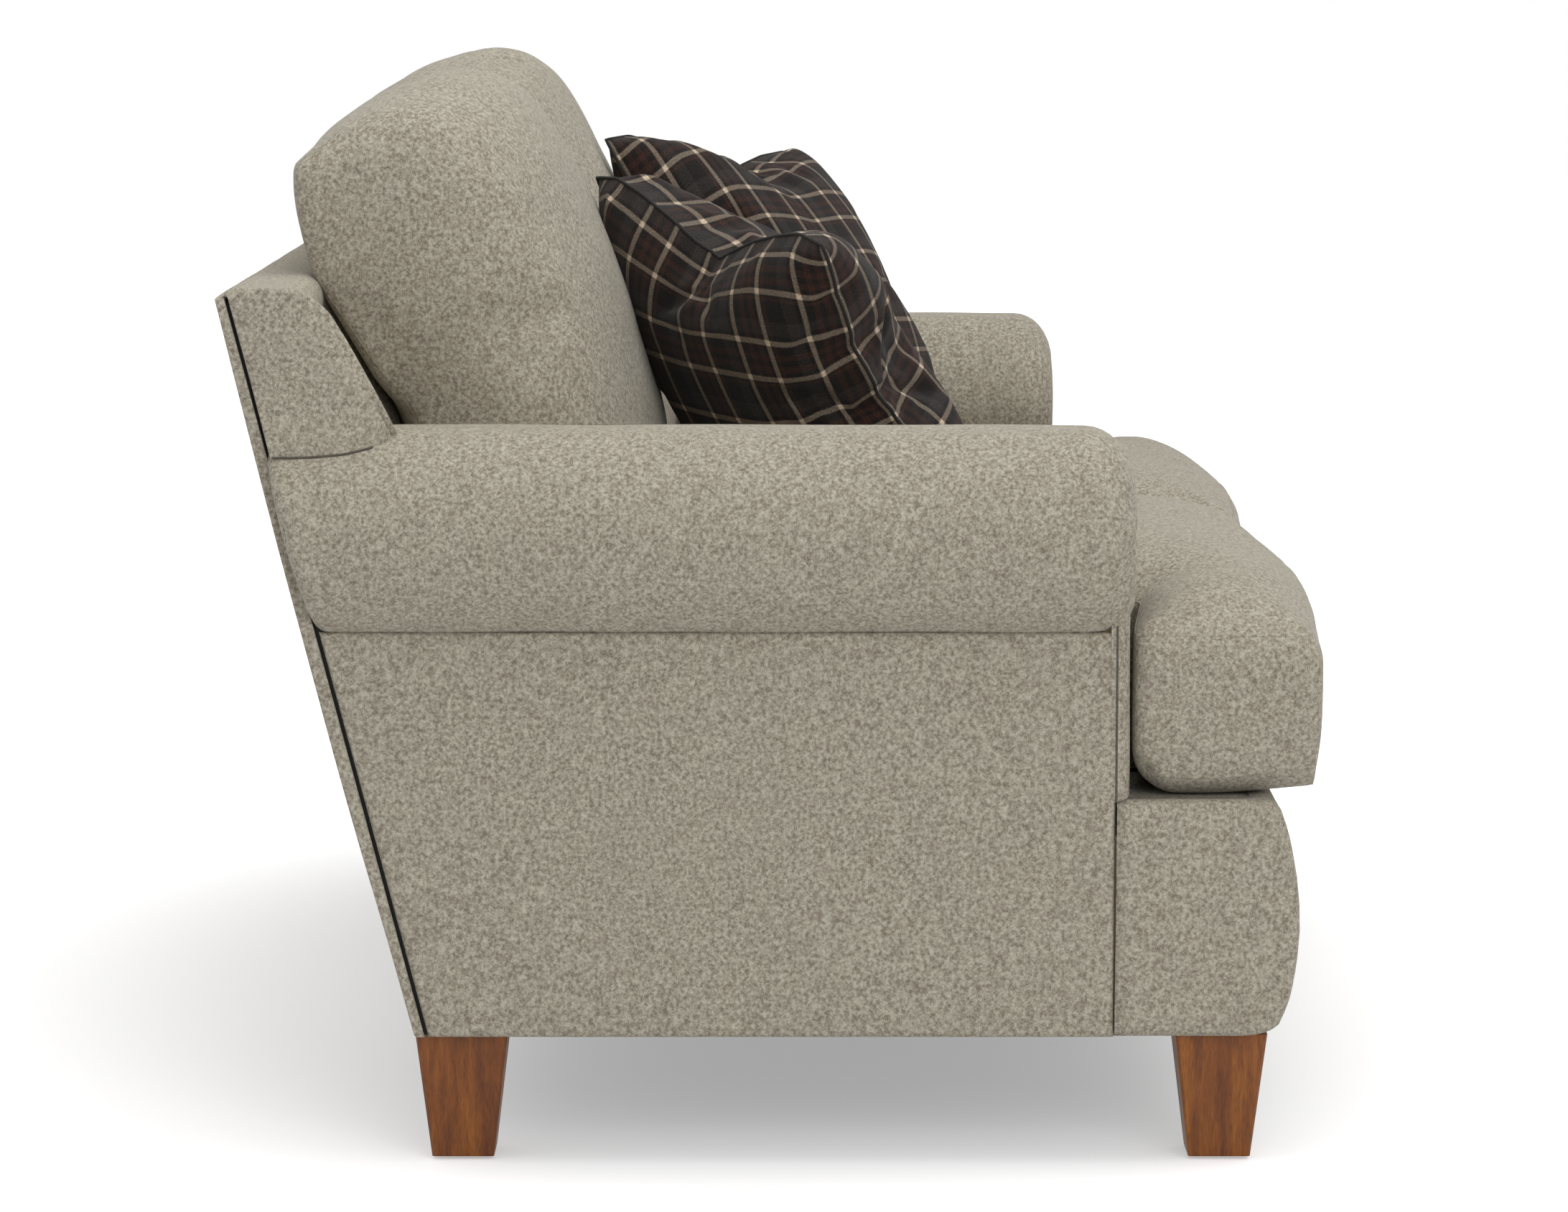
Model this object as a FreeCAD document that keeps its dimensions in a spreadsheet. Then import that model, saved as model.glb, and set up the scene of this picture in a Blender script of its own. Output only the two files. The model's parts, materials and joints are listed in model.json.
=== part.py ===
import FreeCAD, Part
import math
import os
import re

import Sketcher

# Two-seat upholstered sofa with rolled arms, T-shaped seat cushions, loose back
# cushions and two square throw pillows, in millimetres. X runs along the sofa, the
# front faces -Y, and Z is up. The origin is on the floor under the middle.

os.makedirs("parts", exist_ok=True)
doc = FreeCAD.newDocument("RolledArmSofa")
sheet = doc.addObject("Spreadsheet::Sheet", "Sizes")

sizes = {
    # Outline of the whole sofa
    "overall_depth": 976,
    "seat_width": 1240,
    "base_clearance": 114,
    "deck_height": 321,
    "back_height": 755,
    "back_top_depth": 84,
    "back_crown": 8,
    "back_rake": 14.5,
    "inside_rake": 23,
    # Rolled arms
    "arm_height": 639,
    "arm_thickness": 170,
    "arm_setback": 186,
    "roll_width": 230,
    "roll_height": 180,
    "roll_overhang": 48,
    "roll_nose": 40,
    "roll_padding": 24,
    "arm_wrap": 19,
    # Boards of the hardwood frame
    "board": 28,
    "arm_board": 20,
    "rear_board_gap": 63,
    "stretcher_height": 60,
    "block_length": 90,
    "post_top_drop": 11,
    "top_rail_height": 60,
    "shelf_thickness": 10,
    # Upholstery on the frame
    "fabric": 3,
    "outer_cover": 8,
    "inner_cover": 12,
    "back_pad": 40,
    "border_setback": 44,
    "border_pad": 20,
    "border_bulge": 16,
    "border_ease": 20,
    "rail_ease": 19,
    "dust_cloth": 2,
    "burlap": 2,
    "deck_padding": 28,
    # Springs and webbing
    "spring_count": 8,
    "spring_side_gap": 77.5,
    "spring_wire": 4,
    "spring_loop_width": 50,
    "spring_pitch": 42,
    "clip_plate": 2,
    "clip_width": 30,
    "clip_depth": 18,
    "clip_wall": 6,
    "tie_width": 4,
    "webbing_count": 5,
    "webbing_width": 60,
    "webbing_end": 10,
    "webbing_start": 28,
    "webbing_thickness": 2.5,
    # Legs and what fastens them
    "leg_top": 80,
    "leg_foot": 54,
    "leg_edge": 2,
    "leg_inset_end": 55,
    "leg_inset_front": 67,
    "leg_inset_rear": 39,
    "glide_height": 3,
    "glide_radius": 15,
    "glide_foot_radius": 12,
    "bolt_diameter": 8,
    "bolt_in_leg": 44,
    "bolt_in_frame": 34,
    "plate_width": 56,
    # Seat cushions
    "cushion_edge": 162,
    "seat_crown": 45,
    "seat_edge_crown": 7,
    "seat_front_bulge": 31,
    "seat_edge_bulge": 5,
    "ear_droop": 20,
    "ear_gap": 5,
    "ear_seam": 1,
    "cushion_gap": 2,
    "arm_gap": 3,
    "rest_gap": 0.4,
    "seat_core_inset": 26,
    # Back cushions
    "back_cushion_height": 430,
    "back_cushion_rear_height": 383,
    "back_cushion_edge_drop": 34,
    "back_cushion_depth": 224,
    "back_cushion_edge_depth": 160,
    "back_seat_gap": 11,
    "back_side_gap": 15,
    "back_core_inset": 26,
    # Throw pillows
    "pillow_width": 392,
    "pillow_depth": 128,
    "pillow_edge": 8,
    "pillow_draw": 15,
    "pillow_foot_lean": 60,
    "pillow_head_lean": 20,
    "pillow_turn": 30,
    "pillow_tilt": 5,
    "pillow_arm_gap": 347,
    "pillow_back_gap": 191,
    "pillow_inset": 14,
    "pillow_insert_edge": 1.5,
}

for row, (name, value) in enumerate(sizes.items(), start=1):
    sheet.set(f"A{row}", name)
    sheet.set(f"B{row}", str(value))
    sheet.setAlias(f"B{row}", name)
doc.recompute()

# Places worked out from the sizes, each written once
places = {
    "front": "-overall_depth / 2",
    "rear": "overall_depth / 2",
    "arm_inner": "seat_width / 2",
    "arm_outer": "arm_inner + arm_thickness",
    "roll_outer": "arm_outer + roll_overhang",
    "roll_centre": "roll_outer - roll_width / 2",
    "roll_middle": "arm_height - roll_height / 2",
    "roll_flat": "roll_width / 2 - roll_height / 2",
    "frame_inner": "arm_inner + inner_cover",
    "frame_outer": "arm_outer - outer_cover",
    "arm_front": "front + arm_setback",
    "arm_board_front": "arm_front + arm_wrap",
    "border_front": "front + border_setback",
    "rail_front": "border_front + border_pad",
    "rail_back": "rail_front + board",
    "rail_bottom": "base_clearance + dust_cloth",
    "pad_base": "deck_height - fabric - deck_padding",
    "burlap_base": "pad_base - burlap",
    "spring_top": "burlap_base - clip_plate",
    "spring_base": "spring_top - spring_wire",
    "rail_top": "spring_base - clip_plate",
    "back_cover_run": "outer_cover / cos(back_rake)",
    "post_inner": "frame_outer - board",
    "post_top": "back_height - post_top_drop",
    "spring_spacing": "2 * (arm_inner - spring_side_gap) / (spring_count - 1)",
    "webbing_spacing": "(post_top - webbing_end - webbing_width - deck_height - webbing_start)"
                       " / (webbing_count - 1)",
    "leg_x": "arm_outer - leg_inset_end",
    "front_leg_y": "border_front + leg_inset_front",
}


def bound(formula):
    """A formula in plain names, as an expression on the sheet."""
    def swap(match):
        word = match.group()
        if word in sizes:
            return "Sizes." + word
        if word in places:
            return "(" + bound(places[word]) + ")"
        return word
    return re.sub(r"[a-z][a-z_]*", swap, str(formula))


def number(formula):
    """The value that a formula has now."""
    return float(sheet.evalExpression(bound(formula)))


def outside_at(height):
    """Y of the raked outside face of the back, at a height."""
    return f"(rear - (back_height - ({height})) * tan(back_rake))"


def frame_rear_at(height):
    """Y of the back frame's rear faces, under the outside cover."""
    return f"({outside_at(height)} - back_cover_run)"


def inside_at(height):
    """Y of the inside face of the back, which leans more than the outside."""
    return f"(rear - back_top_depth - (back_height - ({height})) * tan(inside_rake))"


def post_front_at(height):
    """Y of the front faces of the back posts, behind padding and webbing."""
    return f"({inside_at(height)} + back_pad)"


places["post_foot"] = post_front_at("deck_height")
places["rear_board"] = "post_foot - rear_board_gap"
places["rear_leg_y"] = outside_at("base_clearance") + " - leg_inset_rear"
places["rear_rail_front"] = "rear_leg_y - board / 2"


# Ways of making a piece

def box(name, x, y, z):
    """A board between a start and an end on each axis."""
    piece = doc.addObject("Part::Box", name)
    for letter, size, (start, end) in zip("xyz", ("Length", "Width", "Height"), (x, y, z)):
        piece.setExpression(size, bound(f"({end}) - ({start})"))
        piece.setExpression("Placement.Base." + letter, bound(start))
    return piece


def draw_outline(sketch, corners):
    """A closed outline. A corner with four values starts an arc through its second pair."""
    spots = [FreeCAD.Vector(number(corner[0]), number(corner[1]), 0) for corner in corners]
    starts = []
    for index, corner in enumerate(corners):
        here = spots[index]
        there = spots[(index + 1) % len(spots)]
        if len(corner) == 4:
            middle = FreeCAD.Vector(number(corner[2]), number(corner[3]), 0)
            sketch.addGeometry(Part.Arc(here, middle, there))
            turns_left = (middle - here).cross(there - middle).z > 0
            starts.append(1 if turns_left else 2)
        else:
            sketch.addGeometry(Part.LineSegment(here, there))
            starts.append(1)
    for index, start in enumerate(starts):
        after = (index + 1) % len(starts)
        sketch.addConstraint(Sketcher.Constraint("Coincident", index, 3 - start, after, starts[after]))
    for index, corner in enumerate(corners):
        pin_point(sketch, index, starts[index], corner[0], corner[1])
        if len(corner) == 4:
            middle = FreeCAD.Vector(number(corner[2]), number(corner[3]), 0)
            point = sketch.addGeometry(Part.Point(middle), True)
            pin_point(sketch, point, 1, corner[2], corner[3])
            sketch.addConstraint(Sketcher.Constraint("PointOnObject", point, 1, index))


def pin_point(sketch, geometry, end, across, up):
    """Tie one point of a sketch to two formulas."""
    for kind, formula in (("DistanceX", across), ("DistanceY", up)):
        constraint = Sketcher.Constraint(kind, -1, 1, geometry, end, number(formula))
        index = sketch.addConstraint(constraint)
        sketch.setExpression(f"Constraints[{index}]", bound(formula))


def add_sketch(body, name, plane, offset):
    """A sketch on one of the body's own origin planes, moved along that plane's normal."""
    sketch = body.newObject("Sketcher::SketchObject", name)
    face = [part for part in body.Origin.OriginFeatures if part.Role == plane + "_Plane"][0]
    sketch.AttachmentSupport = [(face, "")]
    sketch.MapMode = "FlatFace"
    sketch.setExpression("AttachmentOffset.Base.z", bound(offset))
    return sketch


def prism(name, plane, corners, start, end):
    """An outline drawn in a plane and carried from a start to an end along its normal."""
    body = doc.addObject("PartDesign::Body", name)
    # The XZ plane of a body faces -Y
    offset = f"-({end})" if plane == "XZ" else start
    sketch = add_sketch(body, name + "_outline", plane, offset)
    draw_outline(sketch, corners)
    pad = body.newObject("PartDesign::Pad", name + "_pad")
    pad.Profile = sketch
    pad.setExpression("Length", bound(f"({end}) - ({start})"))
    return body


def joined(name, pieces):
    """Several forms made one solid."""
    fuse = doc.addObject("Part::MultiFuse", name)
    fuse.Shapes = pieces
    return fuse


def cut_by(name, base, tools):
    """A form with other forms taken out of it."""
    cut = doc.addObject("Part::Cut", name)
    cut.Base = base
    cut.Tool = tools[0] if len(tools) == 1 else joined(name + "_tools", tools)
    return cut


def group(name, pieces):
    """Separate solids that share one node."""
    compound = doc.addObject("Part::Compound", name)
    compound.Links = pieces
    return compound


def mirrored(name, piece):
    """The same piece for the other end of the sofa."""
    mirror = doc.addObject("Part::Mirroring", name)
    mirror.Source = piece
    mirror.Normal = FreeCAD.Vector(1, 0, 0)
    mirror.Base = FreeCAD.Vector(0, 0, 0)
    return mirror


def solid_feature(name, shape, placement=FreeCAD.Placement()):
    """A solid whose form no single drawn feature gives."""
    piece = doc.addObject("Part::Feature", name)
    piece.Shape = shape
    piece.Placement = placement
    return piece


nodes = []


def keep(piece, label=None):
    """Mark a piece as one of the sofa's own, under its label."""
    piece.Label = label or piece.Name
    nodes.append(piece)
    return piece


def keep_pair(right_piece, label):
    """Keep a piece of the right end and its mirror image at the left end."""
    keep(right_piece, label + "_right")
    return keep(mirrored(label + "_mirror", right_piece), label + "_left")


# Hardwood base frame

def eased(y, z, ease):
    """An arc's start above a lower front corner that is rounded, and its end behind the corner."""
    share = f"{ease} * (1 - cos(45))"
    return [(y, f"{z} + {ease}", f"{y} + {share}", f"{z} + {share}"), (f"{y} + {ease}", z)]


def turned_back(corners):
    """A line of corners in the opposite order. An arc then starts at its other end."""
    line = [corner[:2] for corner in reversed(corners)]
    for index, corner in enumerate(corners):
        if len(corner) == 4:
            line[len(corners) - 2 - index] += corner[2:]
    return line


def rail_face(top):
    """The front rail's face, down from a height and round its eased edge."""
    return [("rail_front", top)] + eased("rail_front", "rail_bottom", "rail_ease")


def base_frame():
    # The rail's lower front edge is rounded, so that the border turns under it
    keep(prism("front_rail", "YZ", rail_face("rail_top") + [
        ("rail_back", "rail_bottom"), ("rail_back", "rail_top")], "-frame_outer", "frame_outer"))
    side_rail = box("side_rail", ("post_inner", "frame_outer"), ("rail_back", "post_foot"),
                    ("rail_bottom", "rail_top"))
    keep_pair(side_rail, "side_rail")
    rear_blank = box("rear_rail_blank", ("-post_inner", "post_inner"),
                     ("rear_rail_front", "rear_rail_front + board"), ("rail_bottom", "rail_top"))
    rear_bolt = bolt("rear_rail_bore", "rear_leg_y")
    keep(cut_by("rear_rail", rear_blank, [rear_bolt, mirrored("rear_bore_mirror", rear_bolt)]))
    keep(box("center_stretcher", ("-board / 2", "board / 2"), ("rail_back", "rear_rail_front"),
             ("rail_bottom", "rail_bottom + stretcher_height")))
    shelf = box("ear_shelf", ("arm_inner", "frame_outer"), ("rail_front", "arm_board_front"),
                ("rail_top", "rail_top + shelf_thickness"))
    keep(group("ear_shelves", [shelf, mirrored("ear_shelf_mirror", shelf)]))


def corner_block(name, inward, rail_face):
    """A triangular block glued into the corner of two rails."""
    tip = f"{rail_face} + {inward} * block_length"
    corners = [("post_inner", rail_face), ("post_inner", tip), ("post_inner - block_length", rail_face)]
    return prism(name, "XY", corners, "rail_bottom", "rail_bottom + stretcher_height")


def corner_blocks():
    front_blank = corner_block("front_block_blank", 1, "rail_back")
    front_block = cut_by("front_block", front_blank, [bolt("front_block_bore", "front_leg_y")])
    rear_block = corner_block("rear_block", -1, "rear_rail_front")
    blocks = [front_block, rear_block]
    blocks += [mirrored(block.Name + "_mirror", block) for block in blocks]
    keep(group("corner_blocks", blocks))


# Tapered legs with their bolts, plates and glides

def bolt(name, y):
    """The hanger bolt that runs from a leg up into the frame."""
    piece = doc.addObject("Part::Cylinder", name)
    piece.setExpression("Radius", bound("bolt_diameter / 2"))
    piece.setExpression("Height", bound("bolt_in_leg + dust_cloth + bolt_in_frame"))
    piece.setExpression("Placement.Base.x", bound("leg_x"))
    piece.setExpression("Placement.Base.y", bound(y))
    piece.setExpression("Placement.Base.z", bound("base_clearance - bolt_in_leg"))
    return piece


def square(y, half):
    """The corners of a square about a leg's axis."""
    return [(f"leg_x - {half}", f"{y} - {half}"), (f"leg_x + {half}", f"{y} - {half}"),
            (f"leg_x + {half}", f"{y} + {half}"), (f"leg_x - {half}", f"{y} + {half}")]


def leg(name, y):
    """A square block that tapers to its foot, with eased edges and a bore for its bolt."""
    body = doc.addObject("PartDesign::Body", name)
    top = add_sketch(body, name + "_top", "XY", "base_clearance")
    draw_outline(top, square(y, "leg_top / 2"))
    foot = add_sketch(body, name + "_foot", "XY", "glide_height")
    draw_outline(foot, square(y, "leg_foot / 2"))
    taper = body.newObject("PartDesign::AdditiveLoft", name + "_taper")
    taper.Profile = top
    taper.Sections = [foot]
    taper.Ruled = True
    doc.recompute()
    upright = [f"Edge{index}" for index, edge in enumerate(taper.Shape.Edges, start=1)
               if edge.BoundBox.ZLength > 1]
    eased = body.newObject("PartDesign::Chamfer", name + "_eased")
    eased.Base = (taper, upright)
    eased.setExpression("Size", bound("leg_edge"))
    body.Tip = eased
    return cut_by(name + "_bored", body, [bolt(name + "_bore", y)])


def glide(name, y):
    """A low plastic foot under a leg."""
    piece = doc.addObject("Part::Cone", name)
    piece.setExpression("Radius1", bound("glide_foot_radius"))
    piece.setExpression("Radius2", bound("glide_radius"))
    piece.setExpression("Height", bound("glide_height"))
    piece.setExpression("Placement.Base.x", bound("leg_x"))
    piece.setExpression("Placement.Base.y", bound(y))
    return piece


def leg_plate(name, y):
    """A square steel plate between a leg and the frame."""
    return prism(name, "XY", square(y, "plate_width / 2"), "base_clearance", "rail_bottom")


def legs():
    bolts = []
    glides = []
    plates = []
    blanks = []
    for place, y in (("front", "front_leg_y"), ("rear", "rear_leg_y")):
        keep_pair(leg("leg_" + place, y), "leg_" + place)
        shank = bolt("leg_bolt_" + place, y)
        bolts += [shank, mirrored(f"leg_bolt_{place}_mirror", shank)]
        foot = glide("glide_" + place, y)
        glides += [foot, mirrored(f"glide_{place}_mirror", foot)]
        blank = leg_plate("plate_blank_" + place, y)
        blanks += [blank, mirrored(f"plate_blank_{place}_mirror", blank)]
        plate = cut_by("plate_" + place, blank, [bolt("plate_bore_" + place, y)])
        plates += [plate, mirrored(f"plate_{place}_mirror", plate)]
    keep(group("leg_bolts", bolts))
    keep(group("leg_glides", glides))
    keep(group("leg_plates", plates))
    # The dust cover closes the underside and stops round the leg plates
    sheet_blank = box("dust_cover_blank", ("-frame_outer", "frame_outer"),
                      ("rail_front + rail_ease", frame_rear_at("base_clearance")),
                      ("base_clearance", "rail_bottom"))
    keep(cut_by("dust_cover", sheet_blank, blanks))


# Back frame: raked posts, a middle post and a top rail

def raked_slab(name, x, low, high, front_at, rear_at):
    """A piece of the back between two raked planes."""
    corners = [(front_at(low), low), (front_at(high), high), (rear_at(high), high), (rear_at(low), low)]
    return prism(name, "YZ", corners, x[0], x[1])


def post(name, x, low, high):
    """A back post, upright at its foot and raked above the seat deck."""
    corners = [("post_foot", low), ("post_foot", "deck_height"), (post_front_at(high), high),
               (frame_rear_at(high), high), (frame_rear_at(low), low)]
    return prism(name, "YZ", corners, x[0], x[1])


def back_frame():
    keep_pair(post("back_post", ("post_inner", "frame_outer"), "rail_bottom", "post_top"), "back_post")
    keep(post("back_center_post", ("-board / 2", "board / 2"), "rail_top", "post_top - top_rail_height"))
    keep(raked_slab("back_top_rail", ("-post_inner", "post_inner"), "post_top - top_rail_height",
                    "post_top", post_front_at, frame_rear_at))
    straps = []
    for index in range(int(number("webbing_count"))):
        low = f"deck_height + webbing_start + {index} * webbing_spacing"
        straps.append(raked_slab(f"strap_{index}", ("-frame_outer", "frame_outer"), low,
                                 low + " + webbing_width", webbing_front_at, post_front_at))
    keep(group("back_webbing", straps))


def webbing_front_at(height):
    """Y of the front of the webbing on the back posts."""
    return f"({post_front_at(height)} - webbing_thickness)"


# Rolled arms

def roll(name, inset, start, end):
    """The arm roll's section, two round ends and short flats, carried from front to rear."""
    radius = f"(roll_height / 2 - {inset})"
    corners = [
        ("roll_centre - roll_flat", f"roll_middle + {radius}"),
        ("roll_centre + roll_flat", f"roll_middle + {radius}",
         f"roll_centre + roll_flat + {radius}", "roll_middle"),
        ("roll_centre + roll_flat", f"roll_middle - {radius}"),
        ("roll_centre - roll_flat", f"roll_middle - {radius}",
         f"roll_centre - roll_flat - {radius}", "roll_middle"),
    ]
    return prism(name, "XZ", corners, start, end)


def nosed_roll(name, inset, kind, size):
    """A roll whose front rim is rounded or bevelled."""
    body = roll(name, inset, f"arm_front + {inset}", "rear")
    doc.recompute()
    front = number(f"arm_front + {inset}")
    pad = body.Tip
    rim = [f"Edge{index}" for index, edge in enumerate(pad.Shape.Edges, start=1)
           if abs(edge.BoundBox.YMax - front) < 0.01]
    nose = body.newObject("PartDesign::" + kind, name + "_nose")
    nose.Base = (pad, rim)
    nose.setExpression("Radius" if kind == "Fillet" else "Size", bound(size))
    body.Tip = nose
    return body


def raked_end(name, form, inset):
    """A roll's form cut off behind, along the raked outside back, less an inset."""
    behind = prism(name + "_behind", "YZ", [
        (frame_rear_at("0") + f" - {inset}", "0"),
        (frame_rear_at("back_height") + f" - {inset}", "back_height"),
        ("rear + roll_width", "back_height"), ("rear + roll_width", "0")],
        "0", "roll_outer + board")
    return cut_by(name, form, [behind])


def back_slab(name, x):
    """The space that the back frame takes, from its webbing to the outside cover."""
    return raked_slab(name, x, "rail_top", "post_top", webbing_front_at, frame_rear_at)


def arms():
    roll_form = raked_end("roll_form", nosed_roll("roll_outside", "0", "Fillet", "roll_nose"), "0")
    under = nosed_roll("roll_under_fabric", "fabric", "Chamfer", "roll_nose - fabric")
    lining = raked_end("roll_lining", under, "fabric")
    bore = roll("roll_bore", "roll_padding", "arm_board_front", "rear")
    hollow = raked_end("roll_hollow", bore, "roll_padding")
    neck = box("arm_neck", ("frame_inner", "frame_outer"), ("arm_board_front", "rear"),
               ("0", "roll_middle"))
    slab = back_slab("back_space", ("0", "frame_outer"))
    keep_pair(cut_by("arm_cover", roll_form, [lining, neck, slab]), "arm_cover")
    keep_pair(cut_by("arm_pad", lining, [hollow, neck, slab]), "arm_pad")
    # Keyhole boards carry the roll at its front and near the back
    for place, start in (("front", "arm_board_front"), ("rear", "rear_board")):
        end = f"{start} + arm_board"
        stem = box(f"stem_{place}", ("frame_inner", "frame_outer"), (start, end),
                   ("rail_top", "roll_middle"))
        head = roll(f"head_{place}", "roll_padding", start, end)
        keep_pair(joined(f"arm_board_{place}", [stem, head]), f"arm_{place}_board")
    top_board = box("arm_top_board", ("roll_centre - roll_flat", "roll_centre + roll_flat"),
                    ("arm_board_front + arm_board", "rear_board"),
                    ("arm_height - roll_padding - arm_board", "arm_height - roll_padding"))
    keep(group("arm_top_boards", [top_board, mirrored("arm_top_board_mirror", top_board)]))
    # Flat panels below the roll
    outside = prism("outside_arm_blank", "YZ", [
        ("arm_board_front", "base_clearance"), ("arm_board_front", "roll_middle"),
        (frame_rear_at("roll_middle"), "roll_middle"),
        (frame_rear_at("base_clearance"), "base_clearance")], "frame_outer", "arm_outer")
    keep_pair(cut_by("outside_arm", outside, [roll_form]), "outside_arm")
    inside = prism("inside_arm_blank", "YZ", [
        ("arm_board_front", "rail_top"), ("arm_board_front", "roll_middle"),
        (webbing_front_at("roll_middle"), "roll_middle"),
        (webbing_front_at("deck_height"), "deck_height"),
        (webbing_front_at("deck_height"), "rail_top")], "arm_inner", "frame_inner")
    keep_pair(cut_by("inside_arm", inside, [roll_form]), "inside_arm")
    facing = box("arm_facing_blank", ("arm_inner", "arm_outer"), ("arm_front", "arm_board_front"),
                 ("deck_height", "roll_middle"))
    above = roll("above_facing", "0", "arm_front", "arm_board_front")
    keep_pair(cut_by("arm_front_panel", facing, [above]), "arm_front_panel")
    return roll_form


# Upholstery of the back

def back_outline(skin):
    """The side view of the upholstered back, less a skin at its front and top."""
    high = f"(back_height - {skin})"
    top = f"(back_height + back_crown - {skin})"
    front_high = f"{inside_at('back_height')} + {skin}"
    rear_high = frame_rear_at(high)
    middle = f"(({front_high}) + ({rear_high})) / 2"
    return front_high, rear_high, middle, high, top


def back_form(name, skin, x, low):
    """The back's form: raked front, crowned top and the outside cover's plane behind."""
    front_high, rear_high, middle, high, top = back_outline(skin)
    corners = [
        (f"{inside_at(low)} + {skin}", low),
        (front_high, high, middle, top),
        (rear_high, high),
        (frame_rear_at("post_top"), "post_top"),
        (webbing_front_at("post_top"), "post_top"),
        (webbing_front_at(low), low),
    ]
    return prism(name, "YZ", corners, x[0], x[1])


def back_upholstery(roll_form):
    arm_block = box("arm_block", ("arm_inner", "roll_outer"), ("arm_front", "rear"), ("0", "roll_middle"))
    arm_forms = [roll_form, arm_block]
    arm_forms += [mirrored(form.Name + "_other_end", form) for form in arm_forms]
    between_wings = ("-frame_outer", "frame_outer")
    pad_form = back_form("back_pad_form", "fabric", between_wings, "deck_height")
    keep(cut_by("inside_back_pad", pad_form, arm_forms))
    cover_form = back_form("back_cover_form", "0", between_wings, "deck_height")
    keep(cut_by("inside_back_cover", cover_form, arm_forms + [pad_form]))
    front_high, rear_high, middle, high, top = back_outline("0")
    wing = prism("wing_blank", "YZ", [
        (inside_at("roll_middle"), "roll_middle"), (front_high, high, middle, top), (rear_high, high),
        (frame_rear_at("roll_middle"), "roll_middle")], "frame_outer", "arm_outer")
    keep_pair(cut_by("wing_panel", wing, [roll_form]), "wing_panel")
    keep(raked_slab("outside_back", ("-arm_outer", "arm_outer"), "base_clearance", "back_height",
                    frame_rear_at, outside_at))


# Seat deck: sinuous springs in clips, tie wires, burlap, pad and deck cloth

def offset_line(points, distance):
    """The points beside an open line of straight runs, with mitred corners."""
    beside = []
    for index, point in enumerate(points):
        before = points[max(index - 1, 0)]
        after = points[min(index + 1, len(points) - 1)]
        runs = [run for run in (point - before, after - point) if run.Length > 0]
        normals = [FreeCAD.Vector(-run.y, run.x, 0).normalize() for run in runs]
        mitre = (normals[0] + normals[-1]).normalize()
        beside.append(point + mitre * (distance / mitre.dot(normals[0])))
    return beside


def spring_strand(x):
    """One zigzag spring wire, laid flat from the front rail to the rear rail."""
    wire = number("spring_wire")
    reach = number("spring_loop_width") / 2 - wire / 2
    start = number("rail_front + clip_wall + clip_depth / 3") + wire / 2
    end = number("rear_rail_front + board - clip_wall - clip_depth / 3") - wire / 2
    count = int((end - start) // number("spring_pitch"))
    step = (end - start) / count
    corner = step / 3
    points = []
    for index in range(count + 1):
        y = start + index * step
        side = 1 if index % 2 else -1
        first = reach if index == 0 else reach - corner
        last = reach if index == count else reach - corner
        if index:
            points.append(FreeCAD.Vector(x + side * -reach, y - corner, 0))
        points.append(FreeCAD.Vector(x - side * first, y, 0))
        points.append(FreeCAD.Vector(x + side * last, y, 0))
        if index < count:
            points.append(FreeCAD.Vector(x + side * reach, y + corner, 0))
    edge = offset_line(points, wire / 2) + offset_line(points, -wire / 2)[::-1]
    face = Part.Face(Part.makePolygon(edge + [edge[0]]))
    strand = face.extrude(FreeCAD.Vector(0, 0, wire))
    strand.translate(FreeCAD.Vector(0, 0, number("spring_base")))
    return strand


def spring_places():
    """X of each spring, spread evenly about the middle."""
    count = int(number("spring_count"))
    return [(index - (count - 1) / 2) for index in range(count)]


def clip(name, place, wall, mouth):
    """A folded steel clip on a rail, open towards the spring that it holds."""
    inner = f"{wall} + {mouth} * clip_wall"
    end = f"{wall} + {mouth} * clip_depth"
    corners = [(wall, "rail_top"), (end, "rail_top"), (end, "spring_base"), (inner, "spring_base"),
               (inner, "spring_top"), (end, "spring_top"), (end, "burlap_base"), (wall, "burlap_base")]
    middle = f"{place} * spring_spacing"
    return prism(name, "YZ", corners, f"{middle} - clip_width / 2", f"{middle} + clip_width / 2")


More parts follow.
